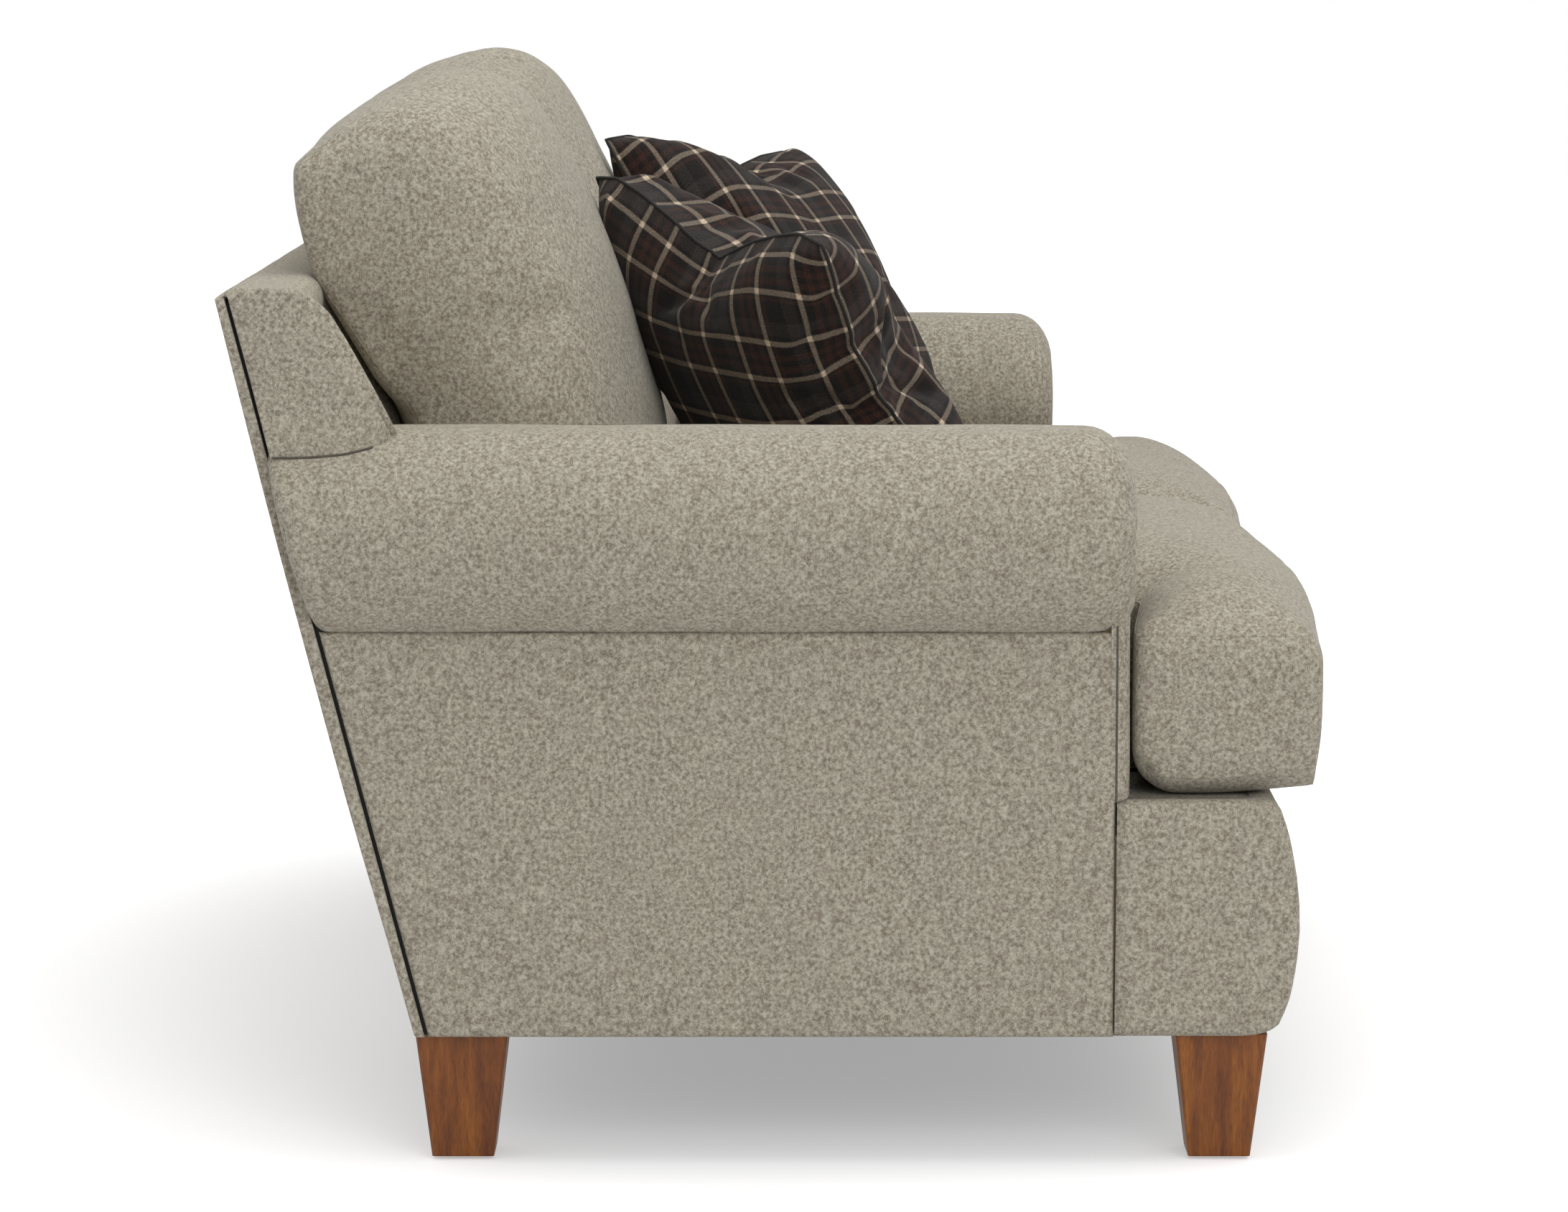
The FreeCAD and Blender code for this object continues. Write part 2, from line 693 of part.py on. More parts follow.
def seat_deck():
    spacing = number("spring_spacing")
    strands = [spring_strand(place * spacing) for place in spring_places()]
    keep(solid_feature("seat_springs", Part.makeCompound(strands)))
    clips = []
    for index, place in enumerate(spring_places()):
        clips.append(clip(f"front_clip_{index}", place, "rail_front + clip_depth / 3", 1))
        clips.append(clip(f"rear_clip_{index}", place, "rear_rail_front + board - clip_depth / 3", -1))
    keep(group("spring_clips", clips))
    reach = f"{spring_places()[-1]} * spring_spacing + spring_loop_width / 2"
    ties = []
    for index in (1, 2):
        y = f"rail_back + (rear_rail_front - rail_back) * {index} / 3"
        ties.append(box(f"tie_wire_{index}", ("-(" + reach + ")", reach), (y, y + " + tie_width"),
                        ("spring_top", "burlap_base")))
    keep(group("spring_ties", ties))
    keep(box("burlap_sheet", ("-arm_inner", "arm_inner"), ("rail_front", "post_foot"),
             ("burlap_base", "pad_base")))
    deck = [("-frame_outer", "rail_front"), ("frame_outer", "rail_front"),
            ("frame_outer", "arm_board_front"), ("arm_inner", "arm_board_front"),
            ("arm_inner", "post_foot"), ("-arm_inner", "post_foot"),
            ("-arm_inner", "arm_board_front"), ("-frame_outer", "arm_board_front")]
    keep(prism("deck_pad", "XY", deck, "pad_base", "deck_height - fabric"))
    keep(prism("deck_cloth", "XY", deck, "deck_height - fabric", "deck_height"))
    # The front border is full across the front, turns under the rail and wraps to the side seams
    fullest = "(base_clearance + border_ease + deck_height) / 2"
    inner = rail_face("deck_height") + [("rail_front + rail_ease", "base_clearance")]
    outer = eased("border_front + border_bulge", "base_clearance", "border_ease")
    outer.insert(0, ("border_front + border_bulge", "deck_height", "border_front", fullest))
    face = prism("border_face", "YZ", outer + turned_back(inner), "-arm_outer", "arm_outer")
    wrap = prism("border_wrap", "YZ", inner + [
        ("arm_board_front", "base_clearance"), ("arm_board_front", "deck_height")],
        "frame_outer", "arm_outer")
    keep(joined("front_border", [face, wrap, mirrored("border_wrap_mirror", wrap)]))


# Soft forms: sections of lines and arcs, lofted

def section(origin, across, up, points):
    """A closed wire. Each point is (u, v), and a point with four values starts an arc."""
    def place(u, v):
        return origin + across * u + up * v
    edges = []
    for index, point in enumerate(points):
        after = points[(index + 1) % len(points)]
        here = place(point[0], point[1])
        there = place(after[0], after[1])
        if len(point) == 4:
            edges.append(Part.Arc(here, place(point[2], point[3]), there).toShape())
        else:
            edges.append(Part.LineSegment(here, there).toShape())
    return Part.Wire(edges)


def fullness(share):
    """How full a cushion is, from 0 at its side edges to 1 at its middle."""
    return 1 - abs(2 * share - 1) ** 2.4


stations = (0, 0.09, 0.28, 0.5, 0.72, 0.91, 1)
across_y = FreeCAD.Vector(0, 1, 0)
up_z = FreeCAD.Vector(0, 0, 1)


def seat_section(x, crown, bulge, droop):
    """The side view of a seat cushion at one place along it."""
    low = number("deck_height + rest_gap")
    edge = low + number("cushion_edge - rest_gap") - droop
    rear = number(inside_at("deck_height") + " - cushion_gap")
    front = number("front + seat_front_bulge")
    points = [(rear, low), (rear, edge, (rear + front) / 2, edge + crown),
              (front, edge, front - bulge, (low + edge) / 2), (front, low)]
    return section(FreeCAD.Vector(x, 0, 0), across_y, up_z, points)


def ear_section(x, droop):
    """The side view of the ear that reaches out in front of the arm."""
    low = number("deck_height + rest_gap")
    edge = number("deck_height + cushion_edge - ear_seam") - droop
    rear = number("arm_front - ear_gap")
    front = number("front + seat_front_bulge + ear_seam")
    bulge = number("seat_edge_bulge - ear_seam")
    points = [(rear, low), (rear, edge, (rear + front) / 2, edge + bulge / 2),
              (front, edge, front - bulge, (low + edge) / 2), (front, low)]
    return section(FreeCAD.Vector(x, 0, 0), across_y, up_z, points)


def seat_cushions():
    start = number("cushion_gap")
    end = number("arm_inner - arm_gap")
    edge_crown = number("seat_edge_crown")
    edge_bulge = number("seat_edge_bulge")
    sections = []
    for share in stations:
        full = fullness(share)
        crown = edge_crown + (number("seat_crown") - edge_crown) * full
        bulge = edge_bulge + (number("seat_front_bulge") - edge_bulge) * full
        sections.append(seat_section(start + (end - start) * share, crown, bulge, 0))
    body = Part.makeLoft(sections, True, False)
    ear_end = number("arm_outer - cushion_gap")
    droop = number("ear_droop")
    ear = Part.makeLoft([ear_section(end, 0), ear_section((end + ear_end) / 2, droop / 4),
                         ear_section(ear_end, droop)], True, False)
    form = solid_feature("seat_cushion_form", body.fuse(ear))
    core = prism("seat_core", "XY", [
        ("cushion_gap + seat_core_inset", "front + seat_front_bulge + seat_core_inset"),
        ("arm_outer - cushion_gap - seat_core_inset", "front + seat_front_bulge + seat_core_inset"),
        ("arm_outer - cushion_gap - seat_core_inset", "arm_front - ear_gap - seat_core_inset"),
        ("arm_inner - arm_gap - seat_core_inset", "arm_front - ear_gap - seat_core_inset"),
        ("arm_inner - arm_gap - seat_core_inset",
         inside_at("deck_height") + " - cushion_gap - seat_core_inset"),
        ("cushion_gap + seat_core_inset",
         inside_at("deck_height") + " - cushion_gap - seat_core_inset")],
        "deck_height + seat_core_inset", "deck_height + cushion_edge - seat_core_inset")
    keep_pair(cut_by("seat_cover", form, [core]), "seat_cushion")
    keep_pair(core, "seat_core")
    return form


def back_section(x, share):
    """The side view of a back cushion, in heights along and depths from the inside back."""
    full = fullness(share)
    depth = number("back_cushion_edge_depth")
    depth += (number("back_cushion_depth") - depth) * full
    drop = number("back_cushion_edge_drop") * (1 - full)
    rear_top = number("back_cushion_rear_height") - drop / 2
    top = number("back_cushion_height") - drop
    foot = number("deck_height + cushion_edge + back_seat_gap")
    lean = math.radians(number("inside_rake"))
    up = FreeCAD.Vector(0, math.sin(lean), math.cos(lean))
    out = FreeCAD.Vector(0, -math.cos(lean), math.sin(lean))
    origin = FreeCAD.Vector(x, number(inside_at(str(foot))), foot)
    gap = number("rest_gap")
    points = [(gap, 0), (gap, rear_top, depth * 0.55, top), (depth * 0.945, top * 0.82,
              depth, top * 0.36), (depth * 0.83, -depth * 0.26)]
    return section(origin, out, up, points)


def back_cushions():
    start = number("cushion_gap")
    end = number("arm_inner - back_side_gap")
    sections = [back_section(start + (end - start) * share, share) for share in stations]
    form = solid_feature("back_cushion_form", Part.makeLoft(sections, True, False))
    lean = "inside_rake"
    core = doc.addObject("Part::Box", "back_core_block")
    foot = "(deck_height + cushion_edge + back_seat_gap)"
    core.setExpression("Length", bound("arm_inner - back_side_gap - cushion_gap - 2 * back_core_inset"))
    core.setExpression("Width", bound("back_cushion_edge_depth - 2 * back_core_inset"))
    core.setExpression("Height", bound("back_cushion_rear_height - 2.5 * back_core_inset"))
    core.setExpression("Placement.Base.x", bound("cushion_gap + back_core_inset"))
    depth = "(back_cushion_edge_depth - back_core_inset)"
    core.setExpression("Placement.Base.y", bound(
        f"{inside_at(foot)} - {depth} * cos({lean}) + back_core_inset * sin({lean})"))
    core.setExpression("Placement.Base.z", bound(
        f"{foot} + {depth} * sin({lean}) + back_core_inset * cos({lean})"))
    core.setExpression("Placement.Rotation.Angle", bound(f"-{lean}"))
    core.Placement.Rotation.Axis = FreeCAD.Vector(1, 0, 0)
    keep_pair(cut_by("back_cover", form, [core]), "back_cushion")
    keep_pair(core, "back_core")


def pillow_base():
    """Where the middle of the pillow's foot stands, and its facing and along directions."""
    turn = math.radians(number("pillow_turn"))
    seat_edge = "(deck_height + cushion_edge)"
    base = FreeCAD.Vector(number("arm_inner - pillow_arm_gap"),
                          number(f"{inside_at(seat_edge)} - back_cushion_depth - pillow_back_gap"),
                          number(seat_edge))
    facing = FreeCAD.Vector(-math.sin(turn), -math.cos(turn), 0)
    along = FreeCAD.Vector(math.cos(turn), -math.sin(turn), 0)
    return base, facing, along


def pillow_form(inset, shares):
    """A square pillow, thin at its edges and full at its middle, slumped along a bent spine."""
    base, facing, along = pillow_base()
    whole = number("pillow_width")
    side = whole - 2 * inset
    depth = number("pillow_depth") - 2 * inset
    edge = max(number("pillow_edge") - inset, number("pillow_insert_edge"))
    foot = math.radians(number("pillow_foot_lean"))
    head = math.radians(number("pillow_head_lean"))
    radius = whole / (foot - head)
    wires = []
    for share in shares:
        lean = foot + (head - foot) * (inset + share * side) / whole
        back = radius * (math.cos(lean) - math.cos(foot))
        rise = radius * (math.sin(foot) - math.sin(lean))
        spine = base - facing * back + up_z * rise
        outward = facing * math.cos(lean) + up_z * math.sin(lean)
        full = max(math.sin(math.pi * share), 0)
        half = side / 2 - number("pillow_draw") * full
        thick = 1.5 * edge + (depth - 1.5 * edge) * full ** 0.7
        points = [(-half, -edge / 2, 0, -thick / 2), (half, -edge / 2),
                  (half, edge / 2, 0, thick / 2), (-half, edge / 2)]
        wires.append(section(spine, along, outward, points))
    return Part.makeLoft(wires, True, False)


def throw_pillows(seat_form):
    base, facing, along = pillow_base()
    outside = pillow_form(0, (0, 0.07, 0.22, 0.5, 0.78, 0.93, 1))
    insert = pillow_form(number("pillow_inset"), (0, 0.3, 0.7, 1))
    # The pillow tilts about its middle, then comes down until it rests on the seat cushion
    middle = base + up_z * number("pillow_width / 3")
    tilt = FreeCAD.Rotation(facing, -number("pillow_tilt"))
    place = FreeCAD.Placement(up_z * number("seat_crown + pillow_depth"), tilt, middle)
    for step in range(6):
        gap = outside.transformed(place.Matrix, True).distToShape(seat_form.Shape)[0]
        place.Base -= up_z * (gap - number("rest_gap"))
    form = solid_feature("pillow_outside", outside, place)
    fill = solid_feature("pillow_fill", insert, place)
    keep_pair(cut_by("pillow_cover", form, [fill]), "throw_pillow")
    keep_pair(fill, "pillow_insert")


base_frame()
corner_blocks()
legs()
back_frame()
roll_shape = arms()
back_upholstery(roll_shape)
seat_deck()
seat_shape = seat_cushions()
back_cushions()
throw_pillows(seat_shape)
doc.recompute()

for piece in doc.Objects:
    if "Invalid" in piece.State or "Error" in piece.State:
        raise SystemExit(f"{piece.Label} did not compute: {piece.State}")
for piece in nodes:
    if piece.Shape.isNull() or not piece.Shape.isValid():
        raise SystemExit(f"{piece.Label} has no sound shape")

for piece in nodes:
    piece.Shape.exportStep(f"parts/{piece.Label}.step")
print(len(nodes), "pieces written")
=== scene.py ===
import itertools
import json
import math

import bmesh
import bpy
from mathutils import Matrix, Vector, noise


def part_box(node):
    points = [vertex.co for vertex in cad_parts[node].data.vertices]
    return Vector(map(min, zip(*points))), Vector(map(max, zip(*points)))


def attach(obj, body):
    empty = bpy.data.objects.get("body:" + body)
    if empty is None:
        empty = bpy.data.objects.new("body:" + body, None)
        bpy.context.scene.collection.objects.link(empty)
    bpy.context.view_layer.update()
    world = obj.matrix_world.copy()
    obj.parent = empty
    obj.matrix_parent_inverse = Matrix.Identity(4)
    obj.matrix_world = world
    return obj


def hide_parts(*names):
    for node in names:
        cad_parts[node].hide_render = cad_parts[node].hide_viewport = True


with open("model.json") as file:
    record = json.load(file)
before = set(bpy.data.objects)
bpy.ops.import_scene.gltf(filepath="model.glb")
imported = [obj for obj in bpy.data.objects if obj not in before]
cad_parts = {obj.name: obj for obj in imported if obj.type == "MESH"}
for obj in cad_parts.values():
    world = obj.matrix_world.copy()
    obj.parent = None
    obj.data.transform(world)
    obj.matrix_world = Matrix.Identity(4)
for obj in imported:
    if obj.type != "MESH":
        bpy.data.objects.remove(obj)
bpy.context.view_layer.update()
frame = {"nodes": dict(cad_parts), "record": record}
print("frame loaded,", len(frame["nodes"]), "nodes")

# Metres. X runs along the sofa, the front faces -Y, Z is up. The left end (-X) is nearest the camera.
sofa = {
    "armOuter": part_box("outside_arm_right")[1].x,
    "armInner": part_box("inside_arm_right")[0].x,
    "armFront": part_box("arm_front_panel_right")[0].y,
    "sideSeam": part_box("arm_front_panel_right")[1].y,
    "base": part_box("outside_arm_right")[0].z,
    "deck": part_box("deck_cloth")[1].z,
    "rear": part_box("outside_back")[1].y,
    "backTop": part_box("outside_back")[1].z,
    "crownTop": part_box("inside_back_cover")[1].z,
    "borderFront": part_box("front_border")[0].y,
    "backTopDepth": 0.084,
    "backRake": math.radians(14.5),
    "insideRake": math.radians(23),
    "coverThickness": 0.008,
    "seamGap": 0.0008,      # from the side seam to the covers that meet there
}
sofa["rollCentre"] = (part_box("arm_cover_right")[0].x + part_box("arm_cover_right")[1].x) / 2
sofa["rollTop"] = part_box("arm_cover_right")[1].z
sofa["rollHalf"] = (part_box("arm_cover_right")[1].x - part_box("arm_cover_right")[0].x) / 2
ends = {"left": -1, "right": 1}


def outsideAt(z):
    return sofa["rear"] - (sofa["backTop"] - z) * math.tan(sofa["backRake"])


def frameRearAt(z):
    return outsideAt(z) - sofa["coverThickness"] / math.cos(sofa["backRake"])


def insideAt(z):
    return sofa["rear"] - sofa["backTopDepth"] - (sofa["backTop"] - z) * math.tan(sofa["insideRake"])


def mix(a, b, share):
    return a + (b - a) * share


def clamp(value, low=0.0, high=1.0):
    return max(low, min(high, value))


def smooth(share):
    share = clamp(share)
    return share * share * (3 - 2 * share)


def rollOver(distance, radius):
    # How far a rounded edge has turned in, at a distance from the edge
    if distance >= radius:
        return 0.0
    return radius - math.sqrt(radius * radius - (radius - distance) ** 2)


def spread(start, end, step):
    count = max(1, round(abs(end - start) / step))
    return [mix(start, end, index / count) for index in range(count + 1)]


def edgedSpread(start, end, step, edge, edgeSteps=5):
    # Lines close together within an edge at both ends, and a wider step between
    close = [edge * (1 - math.cos(math.pi / 2 * k / edgeSteps)) for k in range(edgeSteps)]
    low = [start + gap for gap in close]
    high = [end - gap for gap in reversed(close)]
    return low + spread(start + edge, end - edge, step) + high


# The small unevenness that hand-upholstered padding has: size of its waves, and how far they move the cloth
padding = {
    "roll": (0.11, 0.0018), "panel": (0.12, 0.0012), "facing": (0.09, 0.0008), "insideBack": (0.13, 0.0012),
    "outsideBack": (0.14, 0.001), "border": (0.12, 0.0015), "deck": (0.1, 0.0008), "dustCover": (0.09, 0.001),
    "seat": (0.09, 0.0018), "seatFine": (0.03, 0.0004),
    "backCushion": (0.10, 0.004), "backCushionFine": (0.035, 0.0008),
}


def unevenness(point, kind):
    size, amount = padding[kind]
    return noise.noise(Vector(point) / size) * amount


def quarter(steps, first=0):
    # Angles through a quarter turn
    return [k / steps * math.pi / 2 for k in range(first, steps + 1)]


# Making pieces from points

def addObject(name, data):
    made = bpy.data.objects.new(name, data)
    bpy.context.scene.collection.objects.link(made)
    return made


def meshPiece(name, points, faces, edges=()):
    mesh = bpy.data.meshes.new(name)
    mesh.from_pydata([tuple(point) for point in points], list(edges), faces)
    mesh.update()
    return addObject(name, mesh)


def gridFaces(rows, columns, closedAcross):
    faces = []
    for row in range(rows - 1):
        for column in range(columns if closedAcross else columns - 1):
            a = row * columns + column
            b = row * columns + (column + 1) % columns
            faces.append((a, b, b + columns, a + columns))
    return faces


def rowsPiece(name, rows, closedAcross=False, capped=False):
    # A skin through rows of points. Capped rows are closed by a point at each end.
    columns = len(rows[0])
    points = [point for row in rows for point in row]
    faces = gridFaces(len(rows), columns, closedAcross)
    if capped:
        for row, turned in ((0, True), (len(rows) - 1, False)):
            centre = sum((Vector(point) for point in rows[row]), Vector()) / columns
            points.append(centre)
            tip = len(points) - 1
            for column in range(columns):
                after = (column + 1) % columns
                edge = (row * columns + column, row * columns + after)
                faces.append((edge[1], edge[0], tip) if turned else (edge[0], edge[1], tip))
    return meshPiece(name, points, faces)


def settle(piece):
    # Turn a piece and its modifiers into a plain mesh
    graph = bpy.context.evaluated_depsgraph_get()
    graph.update()
    done = bpy.data.meshes.new_from_object(piece.evaluated_get(graph))
    old = piece.data
    piece.modifiers.clear()
    piece.data = done
    done.name = piece.name
    bpy.data.meshes.remove(old)
    return piece


def faceOut(piece):
    shape = bmesh.new()
    shape.from_mesh(piece.data)
    bmesh.ops.remove_doubles(shape, verts=shape.verts, dist=0.00002)
    bmesh.ops.recalc_face_normals(shape, faces=shape.faces)
    shape.to_mesh(piece.data)
    shape.free()
    return piece


def smoothShade(piece):
    piece.data.polygons.foreach_set("use_smooth", [True] * len(piece.data.polygons))
    piece.data.update()
    return piece


def thicken(piece, thickness):
    # Give a skin a wall, inwards
    faceOut(piece)
    wall = piece.modifiers.new("wall", "SOLIDIFY")
    wall.thickness = thickness
    wall.offset = -1
    wall.use_even_offset = False
    return settle(piece)


def dress(piece, material, body, slot, *nodes):
    # Give a finished piece its material and its body, and hide the nodes that it stands for
    piece.data.materials.clear()
    piece.data.materials.append(material)
    smoothShade(piece)
    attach(piece, body)
    if nodes:
        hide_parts(*nodes)
    return piece


# Materials

def newMaterial(name):
    material = bpy.data.materials.new(name)
    material.use_nodes = True
    tree = material.node_tree
    return material, tree, tree.nodes["Principled BSDF"]


def connect(tree, node, inputs):
    # Each input is linked from another node's output, or set to a value
    for socket, value in inputs.items():
        if isinstance(value, bpy.types.NodeSocket):
            tree.links.new(value, node.inputs[socket])
        else:
            node.inputs[socket].default_value = value


def addNode(tree, kind, inputs=None, **settings):
    # A node with its inputs connected and its own settings made
    node = tree.nodes.new(kind)
    for setting, value in settings.items():
        setattr(node, setting, value)
    connect(tree, node, inputs or {})
    return node


def objectPlace(tree):
    return addNode(tree, "ShaderNodeTexCoord").outputs["Object"]


def ramp(tree, stops, source):
    node = addNode(tree, "ShaderNodeValToRGB", {"Fac": source})
    while len(node.color_ramp.elements) < len(stops):
        node.color_ramp.elements.new(0.5)
    for element, (place, colour) in zip(node.color_ramp.elements, stops):
        element.position = place
        element.color = (*colour, 1)
    return node.outputs["Color"]


def noiseNode(tree, coordinates, scale, detail, roughness):
    return addNode(tree, "ShaderNodeTexNoise", {"Vector": coordinates, "Scale": scale, "Detail": detail,
                                                "Roughness": roughness}).outputs["Fac"]


def stretched(tree, coordinates, scale):
    return addNode(tree, "ShaderNodeMapping", {"Vector": coordinates, "Scale": scale}).outputs["Vector"]


def mathNode(tree, operation, first, second):
    return addNode(tree, "ShaderNodeMath", {0: first, 1: second}, operation=operation).outputs["Value"]


def mixColour(tree, blend, factor, first, second):
    first, second = ((*value, 1) if isinstance(value, tuple) else value for value in (first, second))
    return addNode(tree, "ShaderNodeMix", {0: factor, 6: first, 7: second},
                   data_type="RGBA", blend_type=blend).outputs[2]


def bump(tree, shader, height, strength, distance):
    node = addNode(tree, "ShaderNodeBump", {"Height": height, "Strength": strength, "Distance": distance})
    tree.links.new(node.outputs["Normal"], shader.inputs["Normal"])


tweed = {
    "yarnScale": 270,       # noise cells per metre, one for each fleck of yarn
    "dark": (0.200, 0.172, 0.130),
    "brown": (0.305, 0.272, 0.212),
    "grey": (0.392, 0.359, 0.290),
    "light": (0.530, 0.495, 0.405),
    "roughness": 0.92,
    "gloss": 0.15,
    "sheen": 0.16,
    "bump": 0.30,
    "large": 0.15,          # share of the coarser flecks
    "clouds": 30,           # slight shading in patches, in cells per metre
}


def tweedMaterial():
    material, tree, shader = newMaterial("greyTweed")
    place = objectPlace(tree)
    small = noiseNode(tree, place, tweed["yarnScale"], 3, 0.85)
    large = noiseNode(tree, place, tweed["yarnScale"] * 0.45, 2, 0.7)
    flecks = mathNode(tree, "ADD", mathNode(tree, "MULTIPLY", small, 1 - tweed["large"]),
                      mathNode(tree, "MULTIPLY", large, tweed["large"]))
    colour = ramp(tree, [(0.38, tweed["dark"]), (0.455, tweed["brown"]), (0.525, tweed["grey"]),
                         (0.63, tweed["light"])], flecks)
    clouds = noiseNode(tree, place, tweed["clouds"], 4, 0.65)
    shade = ramp(tree, [(0.3, (0.95, 0.95, 0.95)), (0.7, (1.0, 1.0, 0.99))], clouds)
    colour = mixColour(tree, "MULTIPLY", 1.0, colour, shade)
    yarn = noiseNode(tree, place, tweed["yarnScale"] * 2.2, 2, 0.6)
    height = mathNode(tree, "ADD", flecks, mathNode(tree, "MULTIPLY", yarn, 0.7))
    bump(tree, shader, height, tweed["bump"], 0.0012)
    connect(tree, shader, {"Base Color": colour, "Roughness": tweed["roughness"],
                           "Specular IOR Level": tweed["gloss"], "Sheen Weight": tweed["sheen"],
                           "Sheen Roughness": 0.45, "Sheen Tint": (0.95, 0.93, 0.88, 1)})
    return material


plaid = {
    "repeat": 0.090,        # the check repeats both ways, in metres
    "line": 0.0044,         # width of the pale lines
    "lineGap": 0.039,       # from one pale line of a pair to the other
    "beige": (0.560, 0.450, 0.340),
    "single": 0.25,         # how much of the beige shows where only one line runs
    "charcoal": (0.0145, 0.0122, 0.0112),
    "smoke": (0.033, 0.029, 0.027),
    "rust": (0.043, 0.020, 0.015),
    "twill": 0.0018,
    "soft": 0.013,          # how softly the lines end, as a share of the repeat
    "fuzz": 520,
    "roughness": 0.95,
    "gloss": 0.12,
    "sheen": 0.07,
}


def plaidShare(tree, coordinate):
    # How far along the repeat, from 0 to 1
    return mathNode(tree, "FRACT", mathNode(tree, "DIVIDE", coordinate, plaid["repeat"]), 0)


def plaidGround(tree, share):
    # Dark bands of one set of threads: rust between the pair of lines, charcoal and smoke elsewhere
    gap = plaid["lineGap"] / plaid["repeat"]
    rust, charcoal, smoke = plaid["rust"], plaid["charcoal"], plaid["smoke"]
    stops = [
        (0.0, charcoal), (0.10, charcoal), (0.115, rust), (0.175, rust), (0.19, charcoal), (0.24, charcoal),
        (0.255, rust), (0.315, rust), (0.33, charcoal), (gap + 0.10, charcoal), (gap + 0.12, smoke),
        (gap + 0.26, smoke), (gap + 0.28, charcoal), (0.92, charcoal), (0.935, rust), (0.96, rust),
        (0.975, charcoal),
    ]
    return ramp(tree, stops, share)


def plaidLine(tree, share):
    # 1 along the pale lines and 0 elsewhere
    line = plaid["line"] / plaid["repeat"]
    gap = plaid["lineGap"] / plaid["repeat"]
    soft = plaid["soft"]
    off, on = (0, 0, 0), (1, 1, 1)
    stops = [(0.0, on), (line, on), (line + soft, off), (gap - soft, off), (gap, on), (gap + line, on),
             (gap + line + soft, off), (1 - soft, off), (1.0, on)]
    return ramp(tree, stops, share)


def plaidMaterial():
    material, tree, shader = newMaterial("charcoalPlaid")
    cloth = addNode(tree, "ShaderNodeUVMap", uv_map="cloth").outputs["UV"]
    split = addNode(tree, "ShaderNodeSeparateXYZ", {"Vector": cloth}).outputs
    warpShare, weftShare = plaidShare(tree, split["X"]), plaidShare(tree, split["Y"])
    slant = mathNode(tree, "ADD", split["X"], split["Y"])
    twill = mathNode(tree, "FRACT", mathNode(tree, "DIVIDE", slant, plaid["twill"]), 0)
    over = mathNode(tree, "GREATER_THAN", twill, 0.5)
    ground = mixColour(tree, "MIX", over, plaidGround(tree, warpShare), plaidGround(tree, weftShare))
    warp, weft = plaidLine(tree, warpShare), plaidLine(tree, weftShare)
    either = mathNode(tree, "MULTIPLY", mathNode(tree, "ADD", warp, weft), plaid["single"])
    both = mathNode(tree, "MULTIPLY", mathNode(tree, "MULTIPLY", warp, weft), 0.95 - 2 * plaid["single"])
    colour = mixColour(tree, "MIX", mathNode(tree, "ADD", either, both), ground, plaid["beige"])
    fuzz = noiseNode(tree, cloth, plaid["fuzz"], 3, 0.75)
    slub = ramp(tree, [(0.34, (0.60, 0.60, 0.60)), (0.5, (1, 1, 1)), (0.66, (1.55, 1.50, 1.46))], fuzz)
    bump(tree, shader, mathNode(tree, "ADD", fuzz, mathNode(tree, "MULTIPLY", twill, 0.3)), 0.4, 0.0008)
    connect(tree, shader, {"Base Color": mixColour(tree, "MULTIPLY", 1.0, colour, slub),
                           "Roughness": plaid["roughness"], "Specular IOR Level": plaid["gloss"],
                           "Sheen Weight": plaid["sheen"], "Sheen Roughness": 0.5})
    return material


def clothMaterial(name, dark, light, scale, strength=0.3):
    # A plain woven cloth with visible threads both ways
    material, tree, shader = newMaterial(name)
    place = objectPlace(tree)
    along = noiseNode(tree, stretched(tree, place, (scale, scale * 0.08, scale)), 1, 2, 0.6)
    across = noiseNode(tree, stretched(tree, place, (scale * 0.08, scale, scale)), 1, 2, 0.6)
    threads = mathNode(tree, "MULTIPLY", mathNode(tree, "ADD", along, across), 0.5)
    bump(tree, shader, threads, strength, 0.001)
    connect(tree, shader, {"Base Color": ramp(tree, [(0.35, dark), (0.65, light)], threads),
                           "Roughness": 0.9})
    return material


walnut = {
    "deep": (0.105, 0.027, 0.006),
    "brown": (0.205, 0.062, 0.010),
    "amber": (0.365, 0.125, 0.018),
    "roughness": 0.50,
    "coat": 0.12,
}
bareWood = {
    "deep": (0.300, 0.190, 0.100),
    "brown": (0.480, 0.340, 0.200),
    "amber": (0.620, 0.470, 0.300),
    "roughness": 0.75,
    "coat": 0.0,
}


def woodMaterial(name, wood):
    # Long grain that runs up the piece
    material, tree, shader = newMaterial(name)
    place = objectPlace(tree)
    grain = noiseNode(tree, stretched(tree, place, (70, 70, 6)), 1, 4, 0.6)
    pores = noiseNode(tree, stretched(tree, place, (900, 900, 30)), 1, 2, 0.6)
    colour = ramp(tree, [(0.30, wood["deep"]), (0.50, wood["brown"]), (0.72, wood["amber"])], grain)
    fine = ramp(tree, [(0.35, (0.72, 0.70, 0.68)), (0.55, (1, 1, 1))], pores)
    bump(tree, shader, pores, 0.12, 0.0004)
    connect(tree, shader, {"Base Color": mixColour(tree, "MULTIPLY", 1.0, colour, fine),
                           "Roughness": wood["roughness"], "Specular IOR Level": 0.3,
                           "Coat Weight": wood["coat"], "Coat Roughness": 0.25})
    return material


